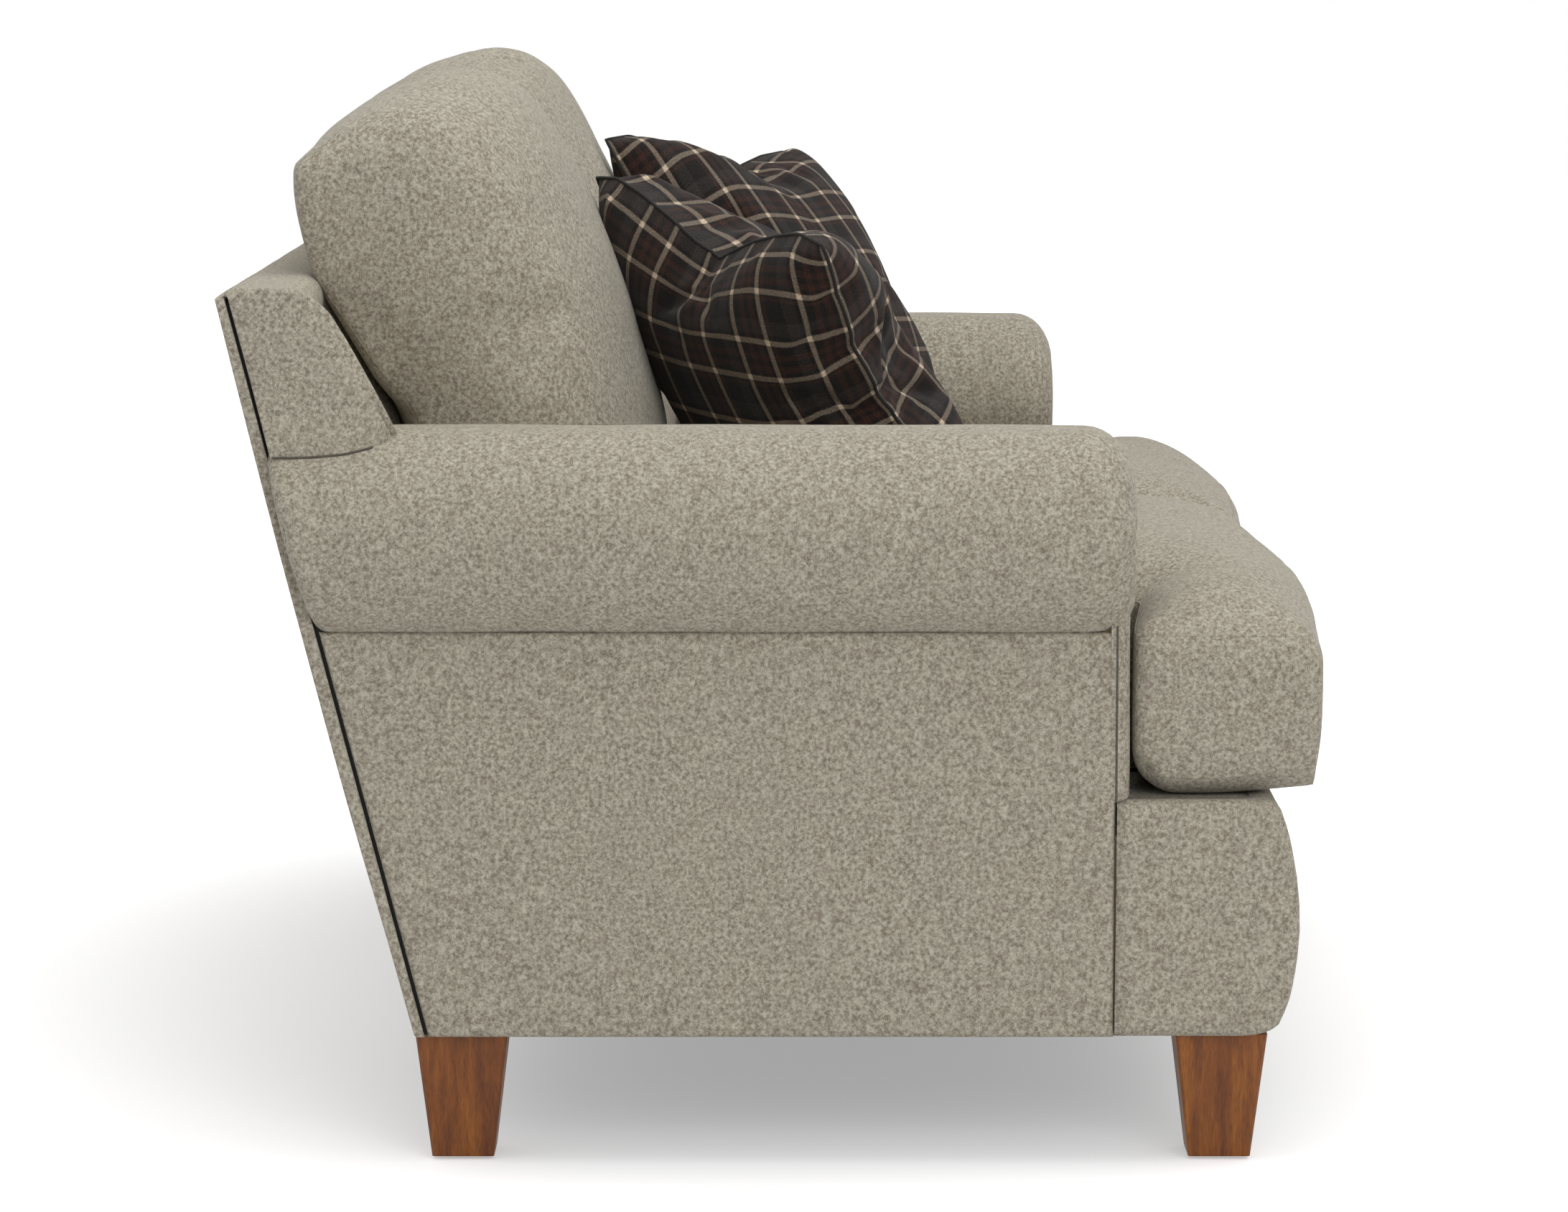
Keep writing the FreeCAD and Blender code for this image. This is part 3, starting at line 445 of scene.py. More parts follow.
def metalMaterial(name, colour, roughness):
    material, tree, shader = newMaterial(name)
    place = objectPlace(tree)
    grime = noiseNode(tree, place, 120, 4, 0.65)
    worn = tuple(channel * 0.72 for channel in colour)
    dull = mathNode(tree, "ADD", mathNode(tree, "MULTIPLY", grime, 0.2), roughness - 0.1)
    bump(tree, shader, grime, 0.08, 0.0005)
    connect(tree, shader, {"Base Color": ramp(tree, [(0.35, worn), (0.6, colour)], grime),
                           "Roughness": dull, "Metallic": 1.0})
    return material


def plasticMaterial(name, colour, roughness):
    material, tree, shader = newMaterial(name)
    place = objectPlace(tree)
    grain = noiseNode(tree, place, 1500, 2, 0.5)
    scuffed = tuple(channel * 1.5 + 0.01 for channel in colour)
    bump(tree, shader, grain, 0.15, 0.0003)
    connect(tree, shader, {"Base Color": ramp(tree, [(0.4, colour), (0.75, scuffed)], grain),
                           "Roughness": roughness})
    return material


sofaCloth = tweedMaterial()
pillowCloth = plaidMaterial()
cordCloth = clothMaterial("darkCord", (0.006, 0.005, 0.005), (0.020, 0.017, 0.015), 2500)
# seamShadow: dark cloth for the frame's seam cords, painted shade in the creases where covers meet
seamShadow = clothMaterial("seamShadow", (0.060, 0.052, 0.040), (0.120, 0.106, 0.082), 900)
# The dust cover's black cloth, also used for the groove strip of painted shade
dustClothAndGrooveShade = clothMaterial("dustClothAndGrooveShade", (0.006, 0.006, 0.006), (0.022, 0.022, 0.023), 1800)
jute = clothMaterial("jute", (0.180, 0.110, 0.055), (0.450, 0.310, 0.170), 900, strength=0.6)
webbing = clothMaterial("webbing", (0.120, 0.090, 0.060), (0.330, 0.260, 0.180), 1400, strength=0.5)
wadding = clothMaterial("wadding", (0.620, 0.610, 0.580), (0.860, 0.850, 0.820), 400, strength=0.5)
foam = clothMaterial("foam", (0.560, 0.500, 0.330), (0.760, 0.700, 0.500), 1200, strength=0.4)
legWood = woodMaterial("walnutStain", walnut)
frameWood = woodMaterial("bareHardwood", bareWood)
zincSteel = metalMaterial("zincSteel", (0.55, 0.55, 0.56), 0.42)
springSteel = metalMaterial("springSteel", (0.11, 0.11, 0.12), 0.45)
glidePlastic = plasticMaterial("glidePlastic", (0.012, 0.012, 0.013), 0.5)
print("materials made")

slotMaterials = {
    "frame_wood": frameWood, "plain_steel": zincSteel, "spring_steel": springSteel,
    "glide_plastic": glidePlastic, "burlap_cloth": jute, "web_cloth": webbing,
    "wadding": wadding, "foam": foam, "leg_wood": legWood,
}
slotOf = {row["node"]: row["material_slot"] for row in frame["record"]["subparts"]}
for node, piece in frame["nodes"].items():
    if slotOf[node] in slotMaterials:
        piece.data.materials.clear()
        piece.data.materials.append(slotMaterials[slotOf[node]])
print("frame nodes given their finishes")


# Geometry Nodes: a cord along seams, and staples along a path

def nodeTree(name, inputs):
    tree = bpy.data.node_groups.new(name, "GeometryNodeTree")
    tree.interface.new_socket("Geometry", in_out="INPUT", socket_type="NodeSocketGeometry")
    for label, kind, value in inputs:
        socket = tree.interface.new_socket(label, in_out="INPUT", socket_type=kind)
        if value is not None:
            socket.default_value = value
    tree.interface.new_socket("Geometry", in_out="OUTPUT", socket_type="NodeSocketGeometry")
    start = tree.nodes.new("NodeGroupInput")
    end = tree.nodes.new("NodeGroupOutput")
    return tree, start, end


def finishTree(tree, end, made, material):
    # Every tree ends as real geometry in its material
    real = addNode(tree, "GeometryNodeRealizeInstances", {"Geometry": made})
    paint = addNode(tree, "GeometryNodeSetMaterial",
                    {"Geometry": real.outputs["Geometry"], "Material": material})
    connect(tree, end, {"Geometry": paint.outputs["Geometry"]})
    return tree


def cordTree():
    # Lines of a mesh become a round cord
    tree, start, end = nodeTree("seamCord", [("Radius", "NodeSocketFloat", 0.001),
                                             ("Sides", "NodeSocketInt", 6),
                                             ("Cloth", "NodeSocketMaterial", None)])
    given = start.outputs
    line = addNode(tree, "GeometryNodeMeshToCurve", {"Mesh": given["Geometry"]})
    profile = addNode(tree, "GeometryNodeCurvePrimitiveCircle",
                      {"Resolution": given["Sides"], "Radius": given["Radius"]})
    tube = addNode(tree, "GeometryNodeCurveToMesh",
                   {"Curve": line.outputs["Curve"], "Profile Curve": profile.outputs["Curve"],
                    "Fill Caps": True})
    return finishTree(tree, end, tube.outputs["Mesh"], given["Cloth"])


def stapleTree():
    # Staples every so often along the lines of a mesh, set across a slanted direction
    tree, start, end = nodeTree("stapleRow", [("Spacing", "NodeSocketFloat", 0.035),
                                              ("Length", "NodeSocketFloat", 0.011),
                                              ("Wire", "NodeSocketFloat", 0.0009),
                                              ("Lean", "NodeSocketFloat", 0.4),
                                              ("Seed", "NodeSocketInt", 3),
                                              ("Steel", "NodeSocketMaterial", None)])
    given = start.outputs
    line = addNode(tree, "GeometryNodeMeshToCurve", {"Mesh": given["Geometry"]})
    places = addNode(tree, "GeometryNodeCurveToPoints",
                     {"Curve": line.outputs["Curve"], "Length": given["Spacing"]}, mode="LENGTH")
    size = addNode(tree, "ShaderNodeCombineXYZ",
                   {"X": given["Length"], "Y": given["Wire"], "Z": given["Wire"]})
    crown = addNode(tree, "GeometryNodeMeshCube", {"Size": size.outputs["Vector"]})
    chance = addNode(tree, "FunctionNodeRandomValue", {2: -0.25, 3: 0.25, "Seed": given["Seed"]},
                     data_type="FLOAT")
    lean = mathNode(tree, "ADD", given["Lean"], chance.outputs[1])
    turn = addNode(tree, "ShaderNodeCombineXYZ", {"Z": lean})
    scatter = addNode(tree, "GeometryNodeInstanceOnPoints",
                      {"Points": places.outputs["Points"], "Instance": crown.outputs["Mesh"],
                       "Rotation": turn.outputs["Vector"]})
    return finishTree(tree, end, scatter.outputs["Instances"], given["Steel"])


def runNodes(piece, tree, values):
    step = piece.modifiers.new(tree.name, "NODES")
    step.node_group = tree
    for item in tree.interface.items_tree:
        if item.in_out == "INPUT" and item.name in values:
            step[item.identifier] = values[item.name]
    return settle(piece)


seamCord = cordTree()
stapleRow = stapleTree()


def cordAlong(name, loops, radius, cloth, body, slot, sides=6):
    # A cord through open or closed lines of points
    points = []
    lines = []
    for line, closed in loops:
        first = len(points)
        points += line
        lines += [(first + k, first + k + 1) for k in range(len(line) - 1)]
        if closed:
            lines.append((first + len(line) - 1, first))
    piece = meshPiece(name, points, [], lines)
    runNodes(piece, seamCord, {"Radius": radius, "Sides": sides, "Cloth": cloth})
    faceOut(piece)
    return dress(piece, cloth, body, slot)


# Camera, floor and light

view = {
    "lens": 121.98,                         # on a sensor 36 mm wide
    "place": (-5.309, 0.003, 1.048),
    "downward": math.radians(7.03),
}


def makeCamera():
    data = bpy.data.cameras.new("endView")
    data.lens = view["lens"]
    data.sensor_width = 36
    camera = addObject("endView", data)
    camera.location = view["place"]
    camera.rotation_euler = (math.pi / 2 - view["downward"], 0, -math.pi / 2)
    bpy.context.scene.camera = camera


studio = {
    "floorSize": 14,        # from its middle to its edges
    "floorColour": (0.86, 0.86, 0.865, 1),
    # The floor glows whiter further out, where the lamps fall off, and glows less near the sofa, where the
    # weaker glow paints extra shade over its real shadow: distances, then how much it glows
    "whiten": {"From Min": 0.5, "From Max": 1.7, "To Min": 0.34, "To Max": 0.78},
    "world": 0.60,
    "overhead": {"place": (-0.5, -0.3, 3.5), "size": (3.0, 2.4), "power": 50},
    "endFill": {"place": (-4.2, -1.2, 2.0), "size": (2.2, 1.8), "power": 34},
    "aim": (0, 0, 0.4),
}


def seenDirectly(tree):
    # 1 for rays from the camera, in reflections and through clear parts
    rays = addNode(tree, "ShaderNodeLightPath").outputs
    seen = mathNode(tree, "MAXIMUM", rays["Is Camera Ray"], rays["Is Glossy Ray"])
    return mathNode(tree, "MAXIMUM", seen, rays["Is Transmission Ray"])


def makeFloor():
    size = studio["floorSize"]
    floor = meshPiece("floor", [(-size, -size, 0), (size, -size, 0), (size, size, 0), (-size, size, 0)],
                      [(0, 1, 2, 3)])
    material, tree, shader = newMaterial("paleFloor")
    away = addNode(tree, "ShaderNodeVectorMath", {0: objectPlace(tree)}, operation="LENGTH")
    further = addNode(tree, "ShaderNodeMapRange", {"Value": away.outputs["Value"], **studio["whiten"]},
                      interpolation_type="SMOOTHSTEP")
    # Painted glow, seen directly only: weak near the sofa, adding painted shade to its real shadow, and
    # strong further out
    glow = mathNode(tree, "MULTIPLY", seenDirectly(tree), further.outputs["Result"])
    connect(tree, shader, {"Base Color": studio["floorColour"], "Roughness": 0.9, "Specular IOR Level": 0.0,
                           "Emission Color": (1, 1, 1, 1), "Emission Strength": glow})
    floor.data.materials.append(material)


def areaLamp(name):
    lamp = studio[name]
    data = bpy.data.lights.new(name, "AREA")
    data.shape = "RECTANGLE"
    data.size, data.size_y = lamp["size"]
    data.energy = lamp["power"]
    piece = addObject(name, data)
    piece.location = lamp["place"]
    aim = Vector(studio["aim"]) - Vector(lamp["place"])
    piece.rotation_euler = aim.to_track_quat("-Z", "Y").to_euler()


def makeLight():
    world = bpy.data.worlds.new("studio")
    bpy.context.scene.world = world
    world.use_nodes = True
    tree = world.node_tree
    # A strength of 1 where it is seen, and a softer fill on the sofa
    extra = mathNode(tree, "MULTIPLY", seenDirectly(tree), 1 - studio["world"])
    connect(tree, tree.nodes["Background"], {"Color": (1, 1, 1, 1),
                                             "Strength": mathNode(tree, "ADD", extra, studio["world"])})
    areaLamp("overhead")
    areaLamp("endFill")


makeCamera()
makeFloor()
makeLight()
bpy.context.scene.view_settings.view_transform = "Standard"
print("camera, floor and light set")


def coverPiece(name, rows, thickness, *nodes):
    # A sheet of the sofa's cloth through rows of points, fixed to the frame
    piece = thicken(rowsPiece(name, rows), thickness)
    return dress(piece, sofaCloth, "sofa_frame", "seat_fabric", *nodes)


# Upholstered arms

arm = {
    "radius": 0.090,
    "sections": 64,         # points round the roll
    "runStep": 0.018,       # from ring to ring, as a share of its length
    "calmStart": 0.30,      # where its unevenness dies away towards the back
    "noseDepth": 0.040,
    "noseTop": 0.046,       # how far the nose rounds in at its top
    "noseSide": 0.040,
    "noseFoot": 0.032,
    "noseDome": 0.003,
    "tailRound": 0.012,
    "tailDome": 0.009,
    "tailDrop": 0.006,      # how much the roll is drawn down where the back meets it
    "tailStart": 0.335,
    "tailFade": 0.09,
    "facingTop": 0.120,     # from the roll's top down to the top of the facing under it
    "facingSetback": 0.009,
    "facingRound": 0.015,
    "facingDip": 0.020,     # the inner corner of the facing's top stays under the roll's nose
    "facingDipWidth": 0.04,
    "panelTop": 0.1715,     # from the roll's top down to the crease under it
    "panelEdge": 0.005,
    "panelCrown": 0.0025,
    "panelStep": 0.014,
    "seamRadius": 0.0011,
}
arm["flat"] = sofa["rollHalf"] - arm["radius"]


def stadium(share, scale, inset, radius, flat):
    # A point of the roll's oval section
    angle = 2 * math.pi * share
    away = Vector((math.cos(angle), 0, math.sin(angle)))
    side = flat * clamp(math.cos(angle) * 6, -1, 1)
    point = Vector((side, 0, 0)) + away * (radius - inset)
    return point * scale


def tailDropAt(y):
    return arm["tailDrop"] * smooth((y - arm["tailStart"]) / arm["tailFade"])


def armRoll(name, end):
    low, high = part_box("arm_cover_" + name)
    radius = arm["radius"]
    flat = (high.x - low.x) / 2 - radius
    middle = Vector((end * sofa["rollCentre"], 0, high.z - radius))
    count = arm["sections"]
    rows = []

    def ring(place, insetAt, scale):
        row = []
        for k in range(count):
            share = k / count
            up = math.sin(2 * math.pi * share)
            point = middle + stadium(share, scale, insetAt(up), radius, flat)
            point.y = place(point.z)
            row.append(point)
        rows.append(row)

    def noseInset(up):
        foot = mix(arm["noseSide"], arm["noseFoot"], smooth(-up))
        return mix(foot, arm["noseTop"], smooth(up))

    front = sofa["armFront"]
    # Nose: a nearly flat face, then its rounding, then the straight run
    for step in range(5):
        scale = 0.02 + 0.98 * step / 5
        dome = arm["noseDome"] * (1 - scale ** 2)
        ring(lambda z: front + arm["noseDome"] - dome, noseInset, scale)
    for turn in quarter(8):
        ring(lambda z: front + arm["noseDome"] + arm["noseDepth"] - arm["noseDepth"] * math.cos(turn),
             lambda up: noseInset(up) * (1 - math.sin(turn)), 1)
    start = front + arm["noseDome"] + arm["noseDepth"]
    # The tail follows the rake of the outside back
    edge = arm["tailRound"]
    for share in spread(0, 1, arm["runStep"])[1:]:
        ring(lambda z: mix(start, frameRearAt(z) - edge, share), lambda up: 0, 1)
    for turn in quarter(5, 1):
        ring(lambda z: frameRearAt(z) - edge + edge * math.sin(turn),
             lambda up: edge * (1 - math.cos(turn)), 1)
    for step in range(1, 7):
        scale = 1 - step / 6 * 0.98
        ring(lambda z: frameRearAt(z) + arm["tailDome"] * (1 - scale ** 2), lambda up: edge, scale)
    for row in rows:
        for k, point in enumerate(row):
            away = (point - Vector((middle.x, point.y, middle.z))).normalized()
            calm = 1 - 0.8 * smooth((point.y - arm["calmStart"]) / 0.05)
            row[k] = point + away * unevenness(point, "roll") * calm
            row[k].z -= tailDropAt(point.y) * clamp((point.z - middle.z) / radius)
    piece = faceOut(rowsPiece("armRoll_" + name, rows, closedAcross=True, capped=True))
    return dress(piece, sofaCloth, "sofa_frame", "seat_fabric", "arm_cover_" + name, "arm_pad_" + name)


def flatPanel(name, nodeName, x, end, ySpan, zSpan, crown):
    # A padded panel on the YZ plane. ySpan gives its front and rear at a height.
    edge = arm["panelEdge"]
    rows = []
    for z in edgedSpread(zSpan[0], zSpan[1], arm["panelStep"], edge):
        front, rear = ySpan(z)
        row = []
        for y in edgedSpread(front, rear, arm["panelStep"], edge):
            gap = min(z - zSpan[0], zSpan[1] - z, y - front, rear - y)
            share = (y - front) / (rear - front)
            lift = (z - zSpan[0]) / (zSpan[1] - zSpan[0])
            full = crown * (16 * share * (1 - share) * lift * (1 - lift)) ** 0.5
            full += unevenness((x, y, z), "panel") * clamp(gap / 0.03)
            row.append((x + end * (full - rollOver(max(gap, 0), edge)), y, z))
        rows.append(row)
    columns = min(len(row) for row in rows)
    rows = [[row[round(k * (len(row) - 1) / (columns - 1))] for k in range(columns)] for row in rows]
    return coverPiece(name, rows, 0.0025, nodeName)


def wrapPath(centre, half, yEnd, yFace, radius, across):
    # A path from one side edge, round a corner, across a face and back round the other corner
    toward = 1 if yFace > yEnd else -1
    left = [(-half, mix(yEnd, yFace - toward * radius, k / 12)) for k in range(12)]
    for turn in quarter(6):
        left.append((-half + radius * (1 - math.cos(turn)), yFace - toward * radius * (1 - math.sin(turn))))
    middle = [(mix(-half + radius, half - radius, k / across), yFace) for k in range(1, across)]
    right = [(-x, y) for x, y in reversed(left)]
    return [(centre + x, y) for x, y in left + middle + right]


def turnedRows(low, high, step, edge):
    # Heights and insets for a panel whose lower and upper edges turn under
    foot = [(low, edge + 0.012)]
    for turn in quarter(6):
        foot.append((low + edge * (1 - math.cos(turn)), edge * (1 - math.sin(turn))))
    middle = [(z, 0.0) for z in spread(low + edge, high - edge, step)[1:-1]]
    head = [(low + high - z, inset) for z, inset in reversed(foot)]
    return foot + middle + head


def armFacing(name, end):
    # The front of the arm below the roll, round to the side seam
    centre = end * (sofa["armInner"] + sofa["armOuter"]) / 2
    half = (sofa["armOuter"] - sofa["armInner"]) / 2
    front = sofa["armFront"] + arm["facingSetback"]
    top = sofa["rollTop"] - arm["facingTop"]
    rows = []
    for z, inset in turnedRows(sofa["deck"] + 0.0005, top, arm["panelStep"], 0.004):
        path = wrapPath(centre, half - inset, sofa["sideSeam"] - sofa["seamGap"], front + inset,
                        arm["facingRound"], 14)
        share = (z - sofa["deck"]) / (top - sofa["deck"])
        row = []
        for x, y in path:
            inward = 1 - (abs(x) - sofa["armInner"]) / arm["facingDipWidth"]
            lower = arm["facingDip"] * smooth(inward) * share ** 3
            row.append((x, y + unevenness((x, y, z), "facing"), z - lower))
        rows.append(row)
    return coverPiece("armFacing_" + name, rows, 0.002, "arm_front_panel_" + name)


def frameSeam(name, line):
    # A fine cord where two covers of the frame meet, in dark cloth: painted shade in the seam's crease
    return cordAlong(name, [(line, False)], arm["seamRadius"], seamShadow, "sofa_frame", "seat_fabric")


def sideSeam(name, end):
    # Its cord down the arm's side seam is painted seam shade
    x, y = end * (sofa["armOuter"] + sofa["seamGap"]), sofa["sideSeam"]
    top = sofa["rollTop"] - arm["panelTop"] + 0.006
    return frameSeam("sideSeam_" + name, [Vector((x, y, z)) for z in spread(sofa["deck"], top, 0.02)])


for name, end in ends.items():
    armRoll(name, end)
    armFacing(name, end)
    sideSeam(name, end)
    flatPanel("outsideArm_" + name, "outside_arm_" + name, end * sofa["armOuter"], end,
              lambda z: (sofa["sideSeam"] + sofa["seamGap"], frameRearAt(z) - 0.003),
              (sofa["base"], sofa["rollTop"] - arm["panelTop"]), arm["panelCrown"])
    flatPanel("insideArm_" + name, "inside_arm_" + name, end * sofa["armInner"], -end,
              lambda z: (sofa["sideSeam"], insideAt(z) + 0.002),
              (sofa["deck"] - 0.03, sofa["rollTop"] - arm["panelTop"]), arm["panelCrown"])
print("arms upholstered")


# Upholstered back: crowned inside back with a wing at each end, and the outside back behind

back = {
    "top": sofa["crownTop"],
    "wingFoot": 0.606,
    "wingAcross": 30, "wingRise": 26,       # rows of points
    "wingFull": 0.003,      # its padding in the middle, which starts at a height over a short fade
    "wingFullFrom": 0.66,
    "wingFullFade": 0.03,
    "wingSpread": 0.010,    # how far its foot spreads out over the roll, up to a height
    "wingSpreadTop": 0.70,
    "wingSpreadFade": 0.09,
    "wingSeam": (0.600, 0.635, 0.620),      # its lowest height, and the heights of its front and rear ends
    "endRound": 0.004,
    "frontRound": 0.030,    # how far the crown turns over at the front
    "frontDepth": 0.036,
    "roundPull": 0.019,     # how strongly it bends at each end of that turn
    "rearRound": 0.007,
    # Where the inside back turns into the wing: height, distance from the middle, how far it stands proud
    "corner": [(0.30, 0.700, 0.006), (0.60, 0.700, 0.016), (0.625, 0.770, 0.018), (0.65, 0.785, 0.018),
               (0.687, 0.786, 0.0145), (0.713, 0.787, 0.0115), (0.738, 0.788, 0.0075), (0.750, 0.789, 0.003),
               (0.763, 0.790, 0.0)],
    "edgeBand": 0.022,      # width of the wing's proud edge
    "edgeRise": 0.018,
    "recess": 0.016,        # how far the cover is drawn in between the wing and the cushion
    "recessStart": 0.530,   # from the middle of the sofa
    "recessFade": 0.060,
    "recessEnd": 0.004,     # from the wing's edge
    "recessRise": 0.016,
    "wrap": 0.030,          # how far back the wing's rounded front reaches
    "groove": 0.003,
    "grooveDepth": 0.0062,
    "strip": 0.0026,        # rounding of the outside back's edges
    "bow": 0.004,           # the outside back is a little full halfway up
    "crownPoints": 10,
}


def throughKnots(knots, place, column):
    # A value between the knots of a table
    if place <= knots[0][0]:
        return knots[0][column]
    for before, after in zip(knots, knots[1:]):
        if place <= after[0]:
            return mix(before[column], after[column], (place - before[0]) / (after[0] - before[0]))
    return knots[-1][column]


def crownLine():
    # Side view of the back's top: over the rounded front, level, and down at the rear edge
    top = back["top"]
    start = Vector((insideAt(top - back["frontRound"]), top - back["frontRound"]))
    rise = Vector((math.tan(sofa["insideRake"]), 1)).normalized()
    finish = Vector((start.x + back["frontDepth"], top))
    handles = [start, start + rise * back["roundPull"], finish - Vector((back["roundPull"], 0)), finish]
    points = []
    for k in range(back["crownPoints"] + 1):
        share = k / back["crownPoints"]
        weights = [(1 - share) ** 3, 3 * share * (1 - share) ** 2, 3 * share ** 2 * (1 - share), share ** 3]
        point = sum((handle * weight for handle, weight in zip(handles, weights)), Vector((0, 0)))
        points.append((point.x, point.y))
    rear, rearEdge = back["rearRound"], frameRearAt(sofa["backTop"]) - 0.001
    points += [(y, top) for y in spread(finish.x, rearEdge - rear, 0.012)[1:]]
    for turn in quarter(5, 1):
        points.append((rearEdge - rear * (1 - math.sin(turn)), top - rear * (1 - math.cos(turn))))
    return points


def backProfile():
    # Side view of the inside back, from the seat up the slope and over the crown
    points = [(insideAt(z), z) for z in spread(sofa["deck"] - 0.02, back["top"] - back["frontRound"], 0.02)]
    return points[:-1] + crownLine()


def proudAt(z):
    return throughKnots(back["corner"], z, 2)


def insideBack():
    profile = backProfile()
    edge = back["endRound"]
    columns = [(-1.0, 0.0, edge + 0.006)]
    columns += [(-1.0, edge * (1 - math.cos(turn)), edge * (1 - math.sin(turn))) for turn in quarter(6)]
    fine = spread(0.90, 1.0, 0.006)[1:-1]       # closer together where the cover turns in to the wing
    shares = [-share for share in reversed(fine)] + spread(-0.90, 0.90, 0.026) + fine
    farEnd = [(1.0, -gap, inset) for share, gap, inset in reversed(columns)]
    columns += [(share, 0.0, 0.0) for share in shares] + farEnd
    inner = Vector((sofa["rear"] - 0.05, sofa["backTop"] - 0.06))
    rows = []
    for share, gap, inset in columns:
        row = []
        for k, (y, z) in enumerate(profile):
            before = Vector(profile[max(k - 1, 0)])
            after = Vector(profile[min(k + 1, len(profile) - 1)])
            along = (after - before).normalized()
            out = Vector((-along.y, along.x))
            if out.dot(Vector((y, z)) - inner) < 0:
                out = -out
            reach = throughKnots(back["corner"], z, 1)
            x = share * reach + gap
            # Proud at the wing's edge, and drawn in between it and the cushion
            proud = proudAt(z) * smooth((abs(x) - reach + back["edgeBand"]) / back["edgeRise"])
            drawn = smooth((abs(x) - back["recessStart"]) / back["recessFade"])
            drawn *= smooth((reach - abs(x) - back["recessEnd"]) / back["recessRise"])
            proud -= back["recess"] * drawn * clamp((back["top"] - z) / back["edgeBand"])
            bulge = unevenness((x, y, z), "insideBack") * (1 - abs(share)) ** 0.3 - inset + proud
            row.append((x, y + out.x * bulge, z + out.y * bulge))
        rows.append(row)
    return coverPiece("insideBack", rows, 0.0025, "inside_back_cover", "inside_back_pad")


def wingReach(y, z):
    # How far out the wing's surface lies: flat behind, and rounding in to the inside back in front
    behind = y - (insideAt(z) - proudAt(z) + back["endRound"])
    inward = sofa["armOuter"] - throughKnots(back["corner"], z, 1)
    inward *= (1 - clamp(behind / back["wrap"])) ** 3.5
    low = clamp((back["wingSpreadTop"] - z) / back["wingSpreadFade"])
    out = back["wingSpread"] * smooth(behind / 0.05) * low ** 1.5
    return sofa["armOuter"] - inward + out


def rollReach(y, z):
    # How far out the roll's surface lies at a height above its middle
    radius = arm["radius"]
    middle = sofa["rollTop"] - radius
    up = (z - middle) / (radius - tailDropAt(y)) * radius
    return sofa["rollCentre"] + arm["flat"] + math.sqrt(max(radius * radius - up * up, 0))


def wingSeam(name, end):
    # The drawn-in seam where the wing meets the roll, as a cord of painted seam shade
    points = []
    lowest, frontHeight, rearHeight = back["wingSeam"]
    for y in spread(insideAt(frontHeight) + 0.001, frameRearAt(rearHeight) - 0.005, 0.004):
        low, high = lowest, sofa["rollTop"] - 0.0005
        for halving in range(24):
            z = (low + high) / 2
            if wingReach(y, z) < rollReach(y, z):
                low = z
            else:
                high = z
        points.append(Vector((end * (wingReach(y, low) + 0.0004), y, low + 0.0004)))
    return frameSeam("wingSeam_" + name, points)


def wing(name, end):
    crown = crownLine()
    foot = back["wingFoot"]
    slopeTop = crown[0][1]
    across, rise = back["wingAcross"], back["wingRise"]

    def frontEdge(level):
        z = mix(foot, slopeTop, level)
        return Vector((insideAt(z) - proudAt(z) + back["endRound"], z))

    def rearEdge(level):
        z = mix(foot, crown[-1][1], level)
        return Vector((frameRearAt(z) - back["groove"], z))

    def topEdge(share):
        place = share * (len(crown) - 1)
        first = min(int(place), len(crown) - 2)
        spot = Vector(crown[first]).lerp(Vector(crown[first + 1]), place - first)
        low = back["endRound"] * (1 - share)
        return Vector((spot.x + low - back["groove"] * share - proudAt(spot.y) * (1 - share) ** 2,
                       spot.y - back["endRound"] * 0.8))

    def footEdge(share):
        return frontEdge(0).lerp(rearEdge(0), share)

    points = []
    for r in range(rise + 1):
        level = 1 - (1 - r / rise) ** 1.5
        line = []
        for k in range(across + 1):
            share = (1 - math.cos(math.pi * k / across)) / 2
            spot = (footEdge(share) * (1 - level) + topEdge(share) * level + frontEdge(level) * (1 - share)
                    + rearEdge(level) * share)
            spot -= (footEdge(0) * (1 - share) + footEdge(1) * share) * (1 - level)
            spot -= (topEdge(0) * (1 - share) + topEdge(1) * share) * level
            y, z = spot
            fullness = back["wingFull"] * (16 * share * (1 - share) * level * (1 - level)) ** 0.5
            fullness *= clamp((z - back["wingFullFrom"]) / back["wingFullFade"])
            gap = min((1 - level) * 0.12, (1 - share) * 0.09, share * 0.09)
            line.append((end * (wingReach(y, z) + fullness - rollOver(clamp(gap, 0, 1), 0.002)), y, z))
        points.append(line)
    return coverPiece("wing_" + name, points, 0.002, "wing_panel_" + name)


def outsideBack():
    half = sofa["armOuter"]
    rows = []
    edge = back["strip"]
    for z, inset in turnedRows(sofa["base"], sofa["backTop"], 0.016, edge):
        bow = back["bow"] * math.sin(math.pi * clamp((z - sofa["base"]) / (sofa["backTop"] - sofa["base"])))
        path = wrapPath(0, half - inset, frameRearAt(z) + 0.0004, outsideAt(z) + bow - inset, edge, 80)
        row = []
        for x, y in path:
            full = 0.0015 * clamp((half - abs(x)) / 0.1) + unevenness((x, z, 7), "outsideBack")
            row.append((x, y + (full if y > outsideAt(z) + bow - 0.004 else 0), z))
        first, last = row[0], row[-1]
        row = [(first[0] + edge, first[1], z)] + row + [(last[0] - edge, last[1], z)]
        row = [(-half + 0.02, frameRearAt(z) + 0.0002, z)] + row + [(half - 0.02, frameRearAt(z) + 0.0002, z)]
        rows.append(row)
    return coverPiece("outsideBack", rows, 0.0015, "outside_back")


